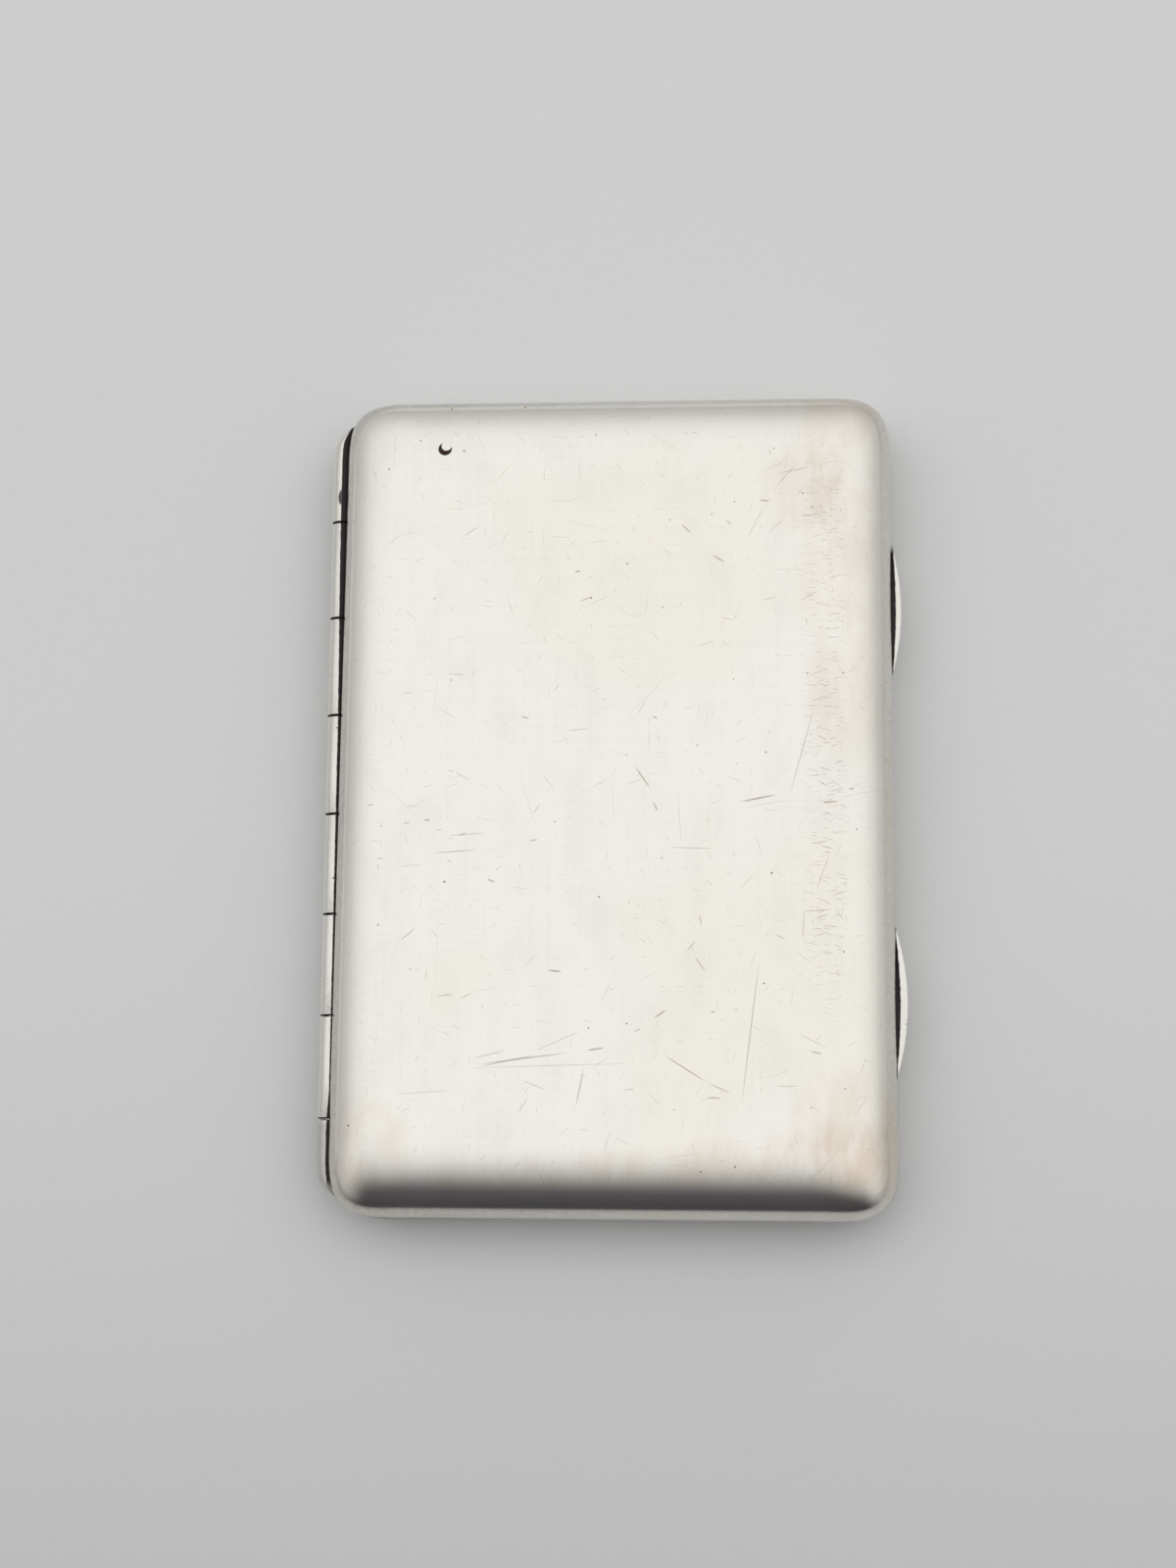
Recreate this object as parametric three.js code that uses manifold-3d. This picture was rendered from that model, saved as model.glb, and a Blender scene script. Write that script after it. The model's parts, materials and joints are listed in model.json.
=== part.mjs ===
import * as THREE from "three";
import { mergeVertices } from "three/addons/utils/BufferGeometryUtils.js";
import Module from "manifold-3d";

const wasm = await Module();
wasm.setup();

// Case body in millimetres: +X to the thumb side, +Y along the hinge, +Z up from the table
const caseWidth = 57;
const caseLength = 85;
const caseThickness = 10;
const sheetGauge = 0.7;
const edgeRun = 8.2;
const edgePower = 2.3;
const seamWall = 0.6;
const cornerReach = 7;
const cornerPower = 3.3;

// Hinge
const knuckleRadius = 1.15;
const knucklePairs = 3;
const knuckleChamfer = 0.08;
const hingeEndLength = 9.3;
const hingeEndInset = 2;
const hingeEndTrim = 0.7;
const hingeShift = -1.4;
const hingeStandOff = 0.36;
const pinRadius = 0.45;
const pinBite = 3;
const bearerWidth = 1.8;
const bearerDepth = 2.3;
const bearerOverrun = 2;

// Thumb-pieces
const thumbLength = 13.5;
const thumbReach = 1.1;
const thumbSpacing = 40.6;
const thumbShift = -0.5;
const thumbDrop = 1.8;
const thumbRise = 0.9;
const thumbRootShare = 0.35;
const thumbLipRound = 0.2;

// Closing bezel and its snap wire
const bezelGauge = 0.5;
const bezelRise = 1.3;
const bezelDrop = 1.8;
const bezelStop = 9;
const snapRadius = 0.18;
const snapLength = 26;

// Retaining strap and its wire keepers
const strapWidth = 10;
const strapGauge = 0.5;
const keeperRadius = 0.35;
const keeperBend = 0.5;
const keeperSetback = 0.4;

// Clearances
const seamGap = 0.2;
const solderGap = 0.08;
const swingGap = 0.3;
const knuckleGap = 0.15;
const pinGap = 0.07;
const bezelGap = 0.3;
const thumbGap = 0.45;
const thumbEndGap = 0.15;
const strapGap = 0.08;
const strapSideGap = 0.6;

// Facet counts
const cornerSegments = 9;
const edgeSegments = 9;
const roundSegments = 24;
const arcSegments = 16;
const wireSegments = 10;
const keeperSegments = 6;
const keeperSteps = 32;

// Derived sizes
const halfWidth = caseWidth / 2;
const halfLength = caseLength / 2;
const seamHeight = caseThickness / 2;
const edgeDrop = seamHeight - seamWall;
const lowerRim = seamHeight - seamGap / 2;
const upperRim = seamHeight + seamGap / 2;
const hingeX = -halfWidth - hingeStandOff;
const knuckleCount = 2 * knucklePairs;
const hingeTip = halfLength - hingeEndInset;
const hingeSpan = 2 * (hingeTip - hingeEndLength);
const knuckleLength = hingeSpan / knuckleCount;
const hingeFar = hingeShift + hingeSpan / 2;
const hingeNear = hingeShift - hingeSpan / 2;
const seatRadius = knuckleRadius + solderGap;
const swingRadius = knuckleRadius + swingGap;
const boreRadius = pinRadius + pinGap;
const floorHeight = sheetGauge;
const barX = halfWidth - edgeRun - keeperSetback;
const loopBore = keeperRadius + strapGap;
const loopRadius = loopBore + strapGauge;
const barHeight = floorHeight + strapGap + loopRadius;

const finishes = {
  silver: { color: 0xd9d6cf, roughness: 0.28, metalness: 1 },
  gilt: { color: 0xd8b673, roughness: 0.3, metalness: 1 },
  nickel: { color: 0xa9a59c, roughness: 0.35, metalness: 1 },
  elastic: { color: 0x4a3c30, roughness: 0.9, metalness: 0 },
};

// Turns a closed geometry into a solid with outward faces
function solidOf(geometry) {
  const bare = geometry.clone();
  bare.deleteAttribute("normal");
  bare.deleteAttribute("uv");
  const merged = mergeVertices(bare, 1e-5);
  const position = merged.attributes.position;
  const triangles = Array.from(merged.index.array);
  const a = new THREE.Vector3();
  const b = new THREE.Vector3();
  const c = new THREE.Vector3();
  const kept = [];
  let volume = 0;
  for (let i = 0; i < triangles.length; i += 3) {
    const [i0, i1, i2] = triangles.slice(i, i + 3);
    if (i0 === i1 || i1 === i2 || i2 === i0) continue;
    kept.push(i0, i1, i2);
    a.fromBufferAttribute(position, i0);
    b.fromBufferAttribute(position, i1);
    c.fromBufferAttribute(position, i2);
    volume += a.dot(b.cross(c));
  }
  const outward = volume < 0 ? kept.reverse() : kept;
  return new wasm.Manifold(
    new wasm.Mesh({
      numProp: 3,
      vertProperties: new Float32Array(position.array),
      triVerts: new Uint32Array(outward),
    }),
  );
}

function joined(solids) {
  return solids.reduce((sum, next) => sum.add(next));
}

// Plan outline of the case: straight sides with superelliptic corners, scaled to the half sizes asked for
function outline(halfX, halfY) {
  const points = [];
  for (let quarter = 0; quarter < 4; quarter += 1) {
    for (let i = 0; i <= cornerSegments; i += 1) {
      const angle = (Math.PI / 2) * (quarter % 2 === 0 ? i / cornerSegments : 1 - i / cornerSegments);
      const x = halfWidth - cornerReach * (1 - Math.cos(angle) ** (2 / cornerPower));
      const y = halfLength - cornerReach * (1 - Math.sin(angle) ** (2 / cornerPower));
      const sideX = quarter === 0 || quarter === 3 ? 1 : -1;
      const sideY = quarter < 2 ? 1 : -1;
      points.push(new THREE.Vector2((sideX * x * halfX) / halfWidth, (sideY * y * halfY) / halfLength));
    }
  }
  return points;
}

// Skins a stack of rings that hold the same number of points, with flat ends
function loft(rings) {
  const count = rings[0].length;
  const positions = rings.flat().flatMap((p) => [p.x, p.y, p.z]);
  const triangles = [];
  for (let r = 0; r < rings.length - 1; r += 1) {
    for (let i = 0; i < count; i += 1) {
      const j = (i + 1) % count;
      const low = r * count;
      const high = low + count;
      triangles.push(low + i, low + j, high + j, low + i, high + j, high + i);
    }
  }
  const last = (rings.length - 1) * count;
  for (let i = 1; i < count - 1; i += 1) {
    triangles.push(0, i + 1, i, last, last + i, last + i + 1);
  }
  const geometry = new THREE.BufferGeometry();
  geometry.setAttribute("position", new THREE.Float32BufferAttribute(positions, 3));
  geometry.setIndex(triangles);
  return geometry;
}

function ringAt(points, z) {
  return points.map((p) => new THREE.Vector3(p.x, p.y, z));
}

// Whole case form with its rolled edges, set in from the outer face by the distance asked for
function caseForm(inset) {
  const run = edgeRun - inset;
  const drop = edgeDrop - inset;
  const lower = [];
  const upper = [];
  for (let i = 0; i <= edgeSegments; i += 1) {
    const angle = ((Math.PI / 2) * i) / edgeSegments;
    const spread = Math.sin(angle) ** (2 / edgePower);
    const rise = drop * Math.cos(angle) ** (2 / edgePower);
    const shrink = inset + run * (1 - spread);
    const ring = outline(halfWidth - shrink, halfLength - shrink);
    lower.push(ringAt(ring, edgeDrop - rise));
    upper.unshift(ringAt(ring, caseThickness - edgeDrop + rise));
  }
  return solidOf(loft([...lower, ...upper]));
}

function block(x0, x1, y0, y1, z0, z1) {
  const geometry = new THREE.BoxGeometry(x1 - x0, y1 - y0, z1 - z0);
  geometry.translate((x0 + x1) / 2, (y0 + y1) / 2, (z0 + z1) / 2);
  return solidOf(geometry);
}

function slab(z0, z1) {
  return block(-caseWidth, caseWidth, -caseLength, caseLength, z0, z1);
}

function prism(points, holes, z0, z1) {
  const shape = new THREE.Shape(points);
  shape.holes = holes.map((hole) => new THREE.Path(hole));
  const geometry = new THREE.ExtrudeGeometry(shape, { depth: z1 - z0, bevelEnabled: false });
  geometry.translate(0, 0, z0);
  return solidOf(geometry);
}

// Round bar along the hinge axis
function hingeRod(radius, yNear, yFar) {
  const geometry = new THREE.CylinderGeometry(radius, radius, yFar - yNear, roundSegments);
  geometry.translate(hingeX, (yNear + yFar) / 2, seamHeight);
  return solidOf(geometry);
}

function knuckleEnds(index) {
  const far = hingeFar - index * knuckleLength;
  return [far - knuckleLength + knuckleGap / 2, far - knuckleGap / 2];
}

function knuckle(index) {
  const [near, far] = knuckleEnds(index);
  const half = (far - near) / 2;
  const profile = [
    [boreRadius, -half],
    [knuckleRadius - knuckleChamfer, -half],
    [knuckleRadius, -half + knuckleChamfer],
    [knuckleRadius, half - knuckleChamfer],
    [knuckleRadius - knuckleChamfer, half],
    [boreRadius, half],
    [boreRadius, -half],
  ].map(([x, y]) => new THREE.Vector2(x, y));
  const geometry = new THREE.LatheGeometry(profile, roundSegments);
  geometry.translate(hingeX, (near + far) / 2, seamHeight);
  return solidOf(geometry);
}

// Grooves that seat a shell's own knuckles closely and clear those of the other shell
function grooves(ownIndices, otherIndices, endsRadius) {
  const seats = ownIndices.map((index) => hingeRod(seatRadius, ...knuckleEnds(index)));
  const swings = otherIndices.map((index) => {
    const [near, far] = knuckleEnds(index);
    return hingeRod(swingRadius, near - knuckleGap, far + knuckleGap);
  });
  const ends = [
    hingeRod(endsRadius, hingeFar - knuckleGap, hingeTip + knuckleGap),
    hingeRod(endsRadius, -hingeTip - knuckleGap, hingeNear + knuckleGap),
  ];
  return joined([...seats, ...swings, ...ends]);
}

// Tapered tube end that runs into a corner and takes the end of the pin
function hingeEnd(yNear, yFar) {
  const trim = prism(outline(-hingeX + knuckleRadius, halfLength - hingeEndTrim), [], 0, caseThickness);
  const bore = hingeRod(boreRadius, hingeNear - pinBite - pinGap, hingeFar + pinBite + pinGap);
  return hingeRod(knuckleRadius, yNear, yFar).intersect(trim).subtract(bore);
}

function bearer(z0, z1, groove) {
  const outerX = -halfWidth + sheetGauge + solderGap;
  const bar = block(
    outerX,
    outerX + bearerWidth,
    hingeNear - bearerOverrun,
    hingeFar + bearerOverrun,
    z0,
    z1,
  );
  return bar.intersect(caseForm(sheetGauge + solderGap)).subtract(groove);
}

// Crescent lip, flared from a thin root on the lower shell to a free edge beside the lid
function thumbPiece(centreY) {
  const levels = [
    [0, 0],
    [0.35, 0.45],
    [0.62, 0.85],
    [0.8, 1],
    [0.93, 1],
  ].map(([rise, flare]) => ({ rise, reach: thumbReach * (thumbRootShare + (1 - thumbRootShare) * flare) }));
  levels.push({ rise: 1, reach: thumbReach - thumbLipRound });
  const bottom = lowerRim - thumbDrop;
  const height = upperRim + thumbRise - bottom;
  const rings = levels.map(({ rise, reach }) => {
    const length = thumbLength * Math.sqrt(reach / thumbReach);
    const z = bottom + height * rise;
    const ring = [];
    for (let i = 0; i <= arcSegments; i += 1) {
      const along = i / arcSegments - 0.5;
      const bulge = reach * (1 - (2 * along) ** 2);
      ring.push(new THREE.Vector3(halfWidth + bulge, centreY + along * length, z));
    }
    ring.push(new THREE.Vector3(halfWidth - edgeRun, centreY + length / 2, z));
    ring.push(new THREE.Vector3(halfWidth - edgeRun, centreY - length / 2, z));
    return ring;
  });
  const lens = [new THREE.Vector2(0, centreY + thumbLength), new THREE.Vector2(0, centreY - thumbLength)];
  for (let i = 0; i <= arcSegments; i += 1) {
    const along = (2 * i) / arcSegments - 1;
    const gap = thumbEndGap + (thumbGap - thumbEndGap) * Math.max(1 - along ** 2, 0);
    lens.push(new THREE.Vector2(halfWidth + gap, centreY + (along * thumbLength) / 2));
  }
  const slot = prism(lens, [], lowerRim, caseThickness);
  return solidOf(loft(rings)).subtract(caseForm(-solderGap)).subtract(slot);
}

// Three-sided inner rim that stands up into the lid
function closingBezel() {
  const outset = sheetGauge + bezelGap;
  const outer = outline(halfWidth - outset, halfLength - outset);
  const inner = outline(halfWidth - outset - bezelGauge, halfLength - outset - bezelGauge);
  const rim = prism(outer, [inner], seamHeight - bezelDrop, seamHeight + bezelRise);
  const sides = block(-halfWidth + bezelStop, halfWidth, -halfLength, halfLength, 0, caseThickness);
  return rim.intersect(sides).intersect(caseForm(sheetGauge + solderGap));
}

function snapWire() {
  const half = new THREE.Shape();
  half.absarc(0, 0, snapRadius, -Math.PI / 2, Math.PI / 2, false);
  half.closePath();
  const geometry = new THREE.ExtrudeGeometry(half, {
    depth: snapLength,
    bevelEnabled: false,
    curveSegments: wireSegments,
  });
  geometry.translate(0, 0, -snapLength / 2);
  geometry.rotateX(Math.PI / 2);
  const faceX = halfWidth - sheetGauge - bezelGap;
  geometry.translate(faceX + solderGap / 4, 0, seamHeight + bezelRise / 2);
  return solidOf(geometry);
}

// Wire staple that stands on the floor of the lower shell
function keeper(x) {
  const legY = strapWidth / 2 + strapSideGap + keeperRadius;
  const foot = floorHeight + solderGap;
  const at = (y, z) => new THREE.Vector3(x, y, z);
  const path = new THREE.CurvePath();
  path.add(new THREE.LineCurve3(at(-legY, foot), at(-legY, barHeight - keeperBend)));
  path.add(
    new THREE.QuadraticBezierCurve3(
      at(-legY, barHeight - keeperBend),
      at(-legY, barHeight),
      at(-legY + keeperBend, barHeight),
    ),
  );
  path.add(new THREE.LineCurve3(at(-legY + keeperBend, barHeight), at(legY - keeperBend, barHeight)));
  path.add(
    new THREE.QuadraticBezierCurve3(
      at(legY - keeperBend, barHeight),
      at(legY, barHeight),
      at(legY, barHeight - keeperBend),
    ),
  );
  path.add(new THREE.LineCurve3(at(legY, barHeight - keeperBend), at(legY, foot)));
  const round = new THREE.Shape();
  round.absarc(0, 0, keeperRadius, 0, 2 * Math.PI, false);
  const geometry = new THREE.ExtrudeGeometry(round, {
    extrudePath: path,
    steps: keeperSteps,
    curveSegments: keeperSegments,
    bevelEnabled: false,
  });
  return solidOf(geometry);
}

// Flat elastic band with a sewn loop around each keeper
function strap() {
  const neck = Math.sqrt(loopRadius ** 2 - (loopRadius - strapGauge) ** 2);
  const neckAngle = Math.asin((loopRadius - strapGauge) / loopRadius);
  const side = new THREE.Shape();
  side.moveTo(-barX, -loopRadius);
  side.lineTo(barX, -loopRadius);
  side.absarc(barX, 0, loopRadius, -Math.PI / 2, Math.PI + neckAngle, false);
  side.lineTo(-barX + neck, strapGauge - loopRadius);
  side.absarc(-barX, 0, loopRadius, -neckAngle, (3 * Math.PI) / 2, false);
  for (const x of [-barX, barX]) {
    const eye = new THREE.Path();
    eye.absarc(x, 0, loopBore, 0, 2 * Math.PI, true);
    side.holes.push(eye);
  }
  const geometry = new THREE.ExtrudeGeometry(side, {
    depth: strapWidth,
    bevelEnabled: false,
    curveSegments: wireSegments,
  });
  geometry.translate(0, 0, -strapWidth / 2);
  geometry.rotateX(Math.PI / 2);
  geometry.translate(0, 0, barHeight);
  return solidOf(geometry);
}

const group = new THREE.Group();

function place(name, solid, finish) {
  const mesh = solid.getMesh();
  const geometry = new THREE.BufferGeometry();
  geometry.setAttribute("position", new THREE.BufferAttribute(mesh.vertProperties, 3));
  geometry.setIndex(new THREE.BufferAttribute(mesh.triVerts, 1));
  geometry.computeVertexNormals();
  const piece = new THREE.Mesh(geometry, new THREE.MeshStandardMaterial(finishes[finish]));
  piece.name = name;
  group.add(piece);
}

// Counted from the far end, the lid owns the even knuckles and the lower shell the odd ones
const lidKnuckles = [];
const baseKnuckles = [];
for (let i = 0; i < knuckleCount; i += 2) {
  lidKnuckles.push(i);
  baseKnuckles.push(i + 1);
}

const sheet = caseForm(0).subtract(caseForm(sheetGauge));
const baseGroove = grooves(baseKnuckles, lidKnuckles, seatRadius);
const lidGroove = grooves(lidKnuckles, baseKnuckles, swingRadius);

place("lower_shell", sheet.intersect(slab(0, lowerRim)).subtract(baseGroove), "silver");
place("upper_shell", sheet.intersect(slab(upperRim, caseThickness)).subtract(lidGroove), "silver");
place("lower_joint_bearer", bearer(lowerRim - bearerDepth, lowerRim, baseGroove), "gilt");
place("upper_joint_bearer", bearer(upperRim, upperRim + bearerDepth, lidGroove), "gilt");
baseKnuckles.forEach((index, i) => place(`lower_knuckle_${i + 1}`, knuckle(index), "silver"));
lidKnuckles.forEach((index, i) => place(`upper_knuckle_${i + 1}`, knuckle(index), "silver"));
place("hinge_end_far", hingeEnd(hingeFar + knuckleGap / 2, hingeTip), "silver");
place("hinge_end_near", hingeEnd(-hingeTip, hingeNear - knuckleGap / 2), "silver");
place("hinge_pin", hingeRod(pinRadius, hingeNear - pinBite, hingeFar + pinBite), "nickel");
place("thumb_piece_far", thumbPiece(thumbShift + thumbSpacing / 2), "silver");
place("thumb_piece_near", thumbPiece(thumbShift - thumbSpacing / 2), "silver");
place("closing_bezel", closingBezel(), "gilt");
place("snap_wire", snapWire(), "gilt");
place("strap_keeper_hinge_side", keeper(-barX), "gilt");
place("strap_keeper_thumb_side", keeper(barX), "gilt");
place("retaining_strap", strap(), "elastic");

export default group;
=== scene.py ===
"""Looks of a hinged pocket case in worn silver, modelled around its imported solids."""

import json
import math

import bmesh
import bpy
from bpy.props import FloatProperty, FloatVectorProperty, PointerProperty
from bpy.types import Operator, Panel, PropertyGroup
from mathutils import Euler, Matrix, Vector


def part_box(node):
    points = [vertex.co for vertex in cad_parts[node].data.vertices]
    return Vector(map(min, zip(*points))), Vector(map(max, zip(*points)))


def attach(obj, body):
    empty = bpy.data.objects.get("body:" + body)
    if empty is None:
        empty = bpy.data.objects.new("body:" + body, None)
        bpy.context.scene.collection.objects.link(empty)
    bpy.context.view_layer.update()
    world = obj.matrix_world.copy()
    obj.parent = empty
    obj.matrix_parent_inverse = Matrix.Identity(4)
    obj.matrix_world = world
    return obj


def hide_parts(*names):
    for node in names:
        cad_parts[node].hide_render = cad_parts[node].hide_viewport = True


bl_info = {
    "name": "Hinged pocket case",
    "version": (1, 0, 0),
    "blender": (4, 5, 0),
    "location": "View3D > Sidebar > Case",
    "description": "Models a worn silver pocket case around its packed solids",
    "category": "Object",
}

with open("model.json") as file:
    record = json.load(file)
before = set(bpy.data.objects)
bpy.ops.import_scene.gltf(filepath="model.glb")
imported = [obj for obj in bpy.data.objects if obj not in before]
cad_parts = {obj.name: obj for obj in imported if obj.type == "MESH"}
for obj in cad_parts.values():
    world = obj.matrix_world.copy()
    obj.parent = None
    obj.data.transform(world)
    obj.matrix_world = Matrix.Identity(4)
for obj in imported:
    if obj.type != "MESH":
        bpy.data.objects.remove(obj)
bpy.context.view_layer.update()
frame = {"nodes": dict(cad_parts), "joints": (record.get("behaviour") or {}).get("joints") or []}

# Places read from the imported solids, in metres
LID_LOW, LID_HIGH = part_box("upper_shell")
BASE_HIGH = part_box("lower_shell")[1]
TUBE_LOW, TUBE_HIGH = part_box("lower_knuckle_1")
HINGE = Vector(frame["joints"][0]["pos_m"])
LID_KNUCKLES = ["upper_knuckle_1", "upper_knuckle_2", "upper_knuckle_3"]
BASE_KNUCKLES = ["lower_knuckle_1", "lower_knuckle_2", "lower_knuckle_3"]
HINGE_ENDS = ["hinge_end_far", "hinge_end_near"]
BASE_TUBES = BASE_KNUCKLES + HINGE_ENDS
THUMB_PIECES = ["thumb_piece_far", "thumb_piece_near"]
KEEPERS = ["strap_keeper_hinge_side", "strap_keeper_thumb_side"]

# Fineness of the meshes
CORNER_STEPS = 24
SIDE_CUTS = 15
EDGE_STEPS = 24
LIP_STEPS = 4
TAPER_STEPS = 40
BEND_STEPS = 8
ROUND_SIDES = 64
WIRE_SIDES = 20
THREAD_SIDES = 6
CRESCENT_SIDES = 640
SLOT_SIDES = 1280

# Small working distances and angles, in metres and radians
MM = 0.001
MERGE = 1e-7
SMOOTH_ANGLE = math.radians(32)
SHARP_ANGLE = math.radians(40)
STRAP_WIDTH = 0.010

# Places that the finishes use, in millimetres
SEAM_LEVEL = LID_HIGH.z / 2 / MM
HINGE_X, HINGE_Z = HINGE.x / MM, HINGE.z / MM

# The picture that the camera repeats, in pixels, and the camera's sensor in millimetres
PICTURE_WIDE, PICTURE_HIGH = 1200, 1600
SENSOR_HEIGHT = 36


# Properties that a user can change

def distance(name, description, default):
    """A length in metres."""
    return FloatProperty(name=name, description=description, default=default, unit="LENGTH")


def amount(name, description, default):
    """A plain number or share."""
    return FloatProperty(name=name, description=description, default=default)


def colour(name, description, default, limit=1):
    """A colour, each part up to a limit."""
    return FloatVectorProperty(
        name=name, description=description, default=default, subtype="COLOR", min=0, max=limit)


class CaseSizes(PropertyGroup):
    """Lengths of the case that a user would change."""

    width: distance("Width", "Body width across the hinge side and the thumb side", 2 * LID_HIGH.x)
    length: distance("Length", "Body length along the hinge", 2 * LID_HIGH.y)
    thickness: distance("Thickness", "Height of the closed case", LID_HIGH.z)
    gauge: distance("Sheet gauge", "Thickness of the silver sheet", 0.7 * MM)
    edge_run: distance("Edge run", "How far the rolled edge reaches in over the face", 8.2 * MM)
    edge_power: amount("Edge power", "Two is elliptic, more keeps the face flat for longer", 2.3)
    seam_wall: distance("Seam wall", "Upright wall between the rolled edge and the seam", 0.6 * MM)
    seam_gap: distance("Seam gap", "Gap between the closed lid and the base", LID_LOW.z - BASE_HIGH.z)
    corner_reach: distance("Corner reach", "Length of each side that a soft corner takes up", 7 * MM)
    corner_power: amount("Corner power", "Two is a round corner, more is squarer", 3.3)
    lid_skew: FloatProperty(
        name="Lid skew", description="How far the lid sits askew on its worn hinge",
        default=math.radians(-0.25), subtype="ANGLE")
    rim_round: distance("Rim rounding", "Rounding of the rims that meet at the seam", 0.12 * MM)
    tube_radius: distance(
        "Hinge radius", "Outer radius of the hinge tube", (TUBE_HIGH.z - TUBE_LOW.z) / 2)
    tube_bore: distance("Hinge bore", "Radius of the hole that the pin runs in", 0.52 * MM)
    tube_round: distance("Knuckle rounding", "Rounding at the ends of each knuckle", 0.09 * MM)
    seat_gap: distance("Seat gap", "Gap between a tube and the shell it is soldered to", 0.08 * MM)
    swing_gap: distance("Swing gap", "Gap between a tube and the shell that turns past it", 0.3 * MM)
    thumb_chord: distance("Thumb-piece length", "Length of a thumb-piece along the side", 14.8 * MM)
    slot_lean: distance("Slot lean", "How far the far slot sits off its thumb-piece's middle", 0.4 * MM)
    far_slot: distance("Far slot length", "Length of the far thumb-piece's slot", 14.2 * MM)
    near_slot: distance("Near slot length", "Length of the near thumb-piece's slot", 13.0 * MM)
    thumb_gap: distance("Thumb-piece gap", "Gap to the lid at a thumb-piece's middle", 0.4 * MM)
    thumb_end_gap: distance("Thumb-piece end gap", "Gap to the lid at a thumb-piece's ends", 0.02 * MM)
    bezel_gauge: distance("Bezel gauge", "Thickness of the inner closing rim", 0.5 * MM)
    wire_radius: distance("Keeper wire", "Radius of the wire of the strap keepers", 0.35 * MM)
    strap_gauge: distance("Strap thickness", "Thickness of the elastic strap", 0.46 * MM)


class CaseColours(PropertyGroup):
    """Colours of the case's finishes."""

    silver: colour("Silver", "Worn polished silver", (0.93, 0.905, 0.85))
    warm_silver: colour("Warm silver", "Faint yellowing in patches", (0.91, 0.87, 0.785))
    # This brown-grey colour is partly real tarnishing and partly painted shade: along the seams it
    # darkens the edges where they mirror the shaded floor.
    tarnish: colour("Tarnish", "Brown-grey film along the seams", (0.32, 0.30, 0.265))
    scratch: colour("Scratch", "Brown film in the scratches and pits", (0.26, 0.155, 0.08))
    stain: colour("Stain", "Old film on the near edge and the thumb side", (0.74, 0.63, 0.50))
    nick: colour("Nick", "Dark brown filling of the crescent nick", (0.05, 0.022, 0.013))
    # This black is partly polish residue and partly painted shade in the gaps and crevices between the
    # lid, the base, the tubes and the thumb-pieces.
    grime: colour("Grime", "Black polish residue in the crevices", (0.010, 0.008, 0.007))
    gilt: colour("Gilt", "Gold wash of the inside", (0.87, 0.68, 0.37))
    worn_gilt: colour("Worn gilt", "Silver that shows through the gold wash", (0.86, 0.78, 0.60))
    nickel: colour("Nickel silver", "Drawn wire of the hinge pin", (0.66, 0.64, 0.59))
    elastic: colour("Elastic", "Thread of the woven elastic strap", (0.16, 0.115, 0.075))
    elastic_light: colour("Elastic, raised threads", "Raised threads of the strap", (0.30, 0.23, 0.155))
    floor: colour("Floor", "Pale paper that the case lies on", (0.695, 0.697, 0.695))
    # The darker near-side paper is painted shade, standing in for the light falling off towards the
    # viewer.
    floor_near: colour("Floor, near side", "Paper on the side of the viewer", (0.51, 0.51, 0.51))


class CaseStage(PropertyGroup):
    """Camera and light."""

    lens: amount("Lens", "Focal length for a 36 mm high frame", 58.5)
    camera_place: FloatVectorProperty(
        name="Camera place", description="Where the camera stands",
        default=(0.016334, -0.046143, 0.262353), subtype="TRANSLATION")
    camera_turn: FloatVectorProperty(
        name="Camera turn", description="How the camera is turned",
        default=(0.18395, 0.07295, 0.00593), subtype="EULER")
    zenith: amount("Overhead light", "Brightness of the room straight above", 0.935)
    horizon: amount("Side light", "Brightness of the room at the far and outer sides", 0.55)
    near_side: amount("Near side share", "Share of the light that comes from behind the viewer", 0.105)
    near_tint: colour("Near side tint", "Tint of the viewer's darkest light", (1.02, 0.98, 1.08), 2)
    lamp: FloatProperty(
        name="Lamp", description="Power of the soft lamp above the floor", default=1.6, unit="POWER")
    backdrop: amount("Backdrop", "Pale backdrop seen past the floor", 0.47)


# Selecting and editing

def clear_selection():
    """Deselects every object, so that the next operator acts on one piece alone."""
    bpy.ops.object.select_all(action="DESELECT")


def pick(piece):
    """Makes a piece the only selected and the active object."""
    clear_selection()
    piece.select_set(True)
    bpy.context.view_layer.objects.active = piece


def begin(name, primitive, **settings):
    """Adds a primitive at its size and place, puts its place in its mesh and opens it for editing."""
    clear_selection()
    primitive(**settings)
    piece = bpy.context.object
    piece.name = name
    piece.data.name = name
    bpy.ops.object.transform_apply(location=True, rotation=True, scale=True)
    bpy.ops.object.mode_set(mode="EDIT")
    bpy.ops.mesh.select_mode(type="FACE")
    bpy.ops.mesh.select_all(action="SELECT")
    return piece


def choose(piece, kind, test):
    """Selects the faces or edges whose middle and direction pass a test."""
    bpy.ops.mesh.select_mode(type=kind)
    bpy.ops.mesh.select_all(action="DESELECT")
    form = bmesh.from_edit_mesh(piece.data)
    chosen = 0
    for part in form.faces if kind == "FACE" else form.edges:
        if kind == "FACE":
            middle = part.calc_center_median()
            way = part.normal
        else:
            first, last = (corner.co for corner in part.verts)
            middle = (first + last) / 2
            way = last - first
        if test(middle, way):
            part.select_set(True)
            chosen += 1
    if not chosen:
        raise RuntimeError(f"{piece.name}: nothing was selected")
    form.select_flush_mode()
    bmesh.update_edit_mesh(piece.data)


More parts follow.
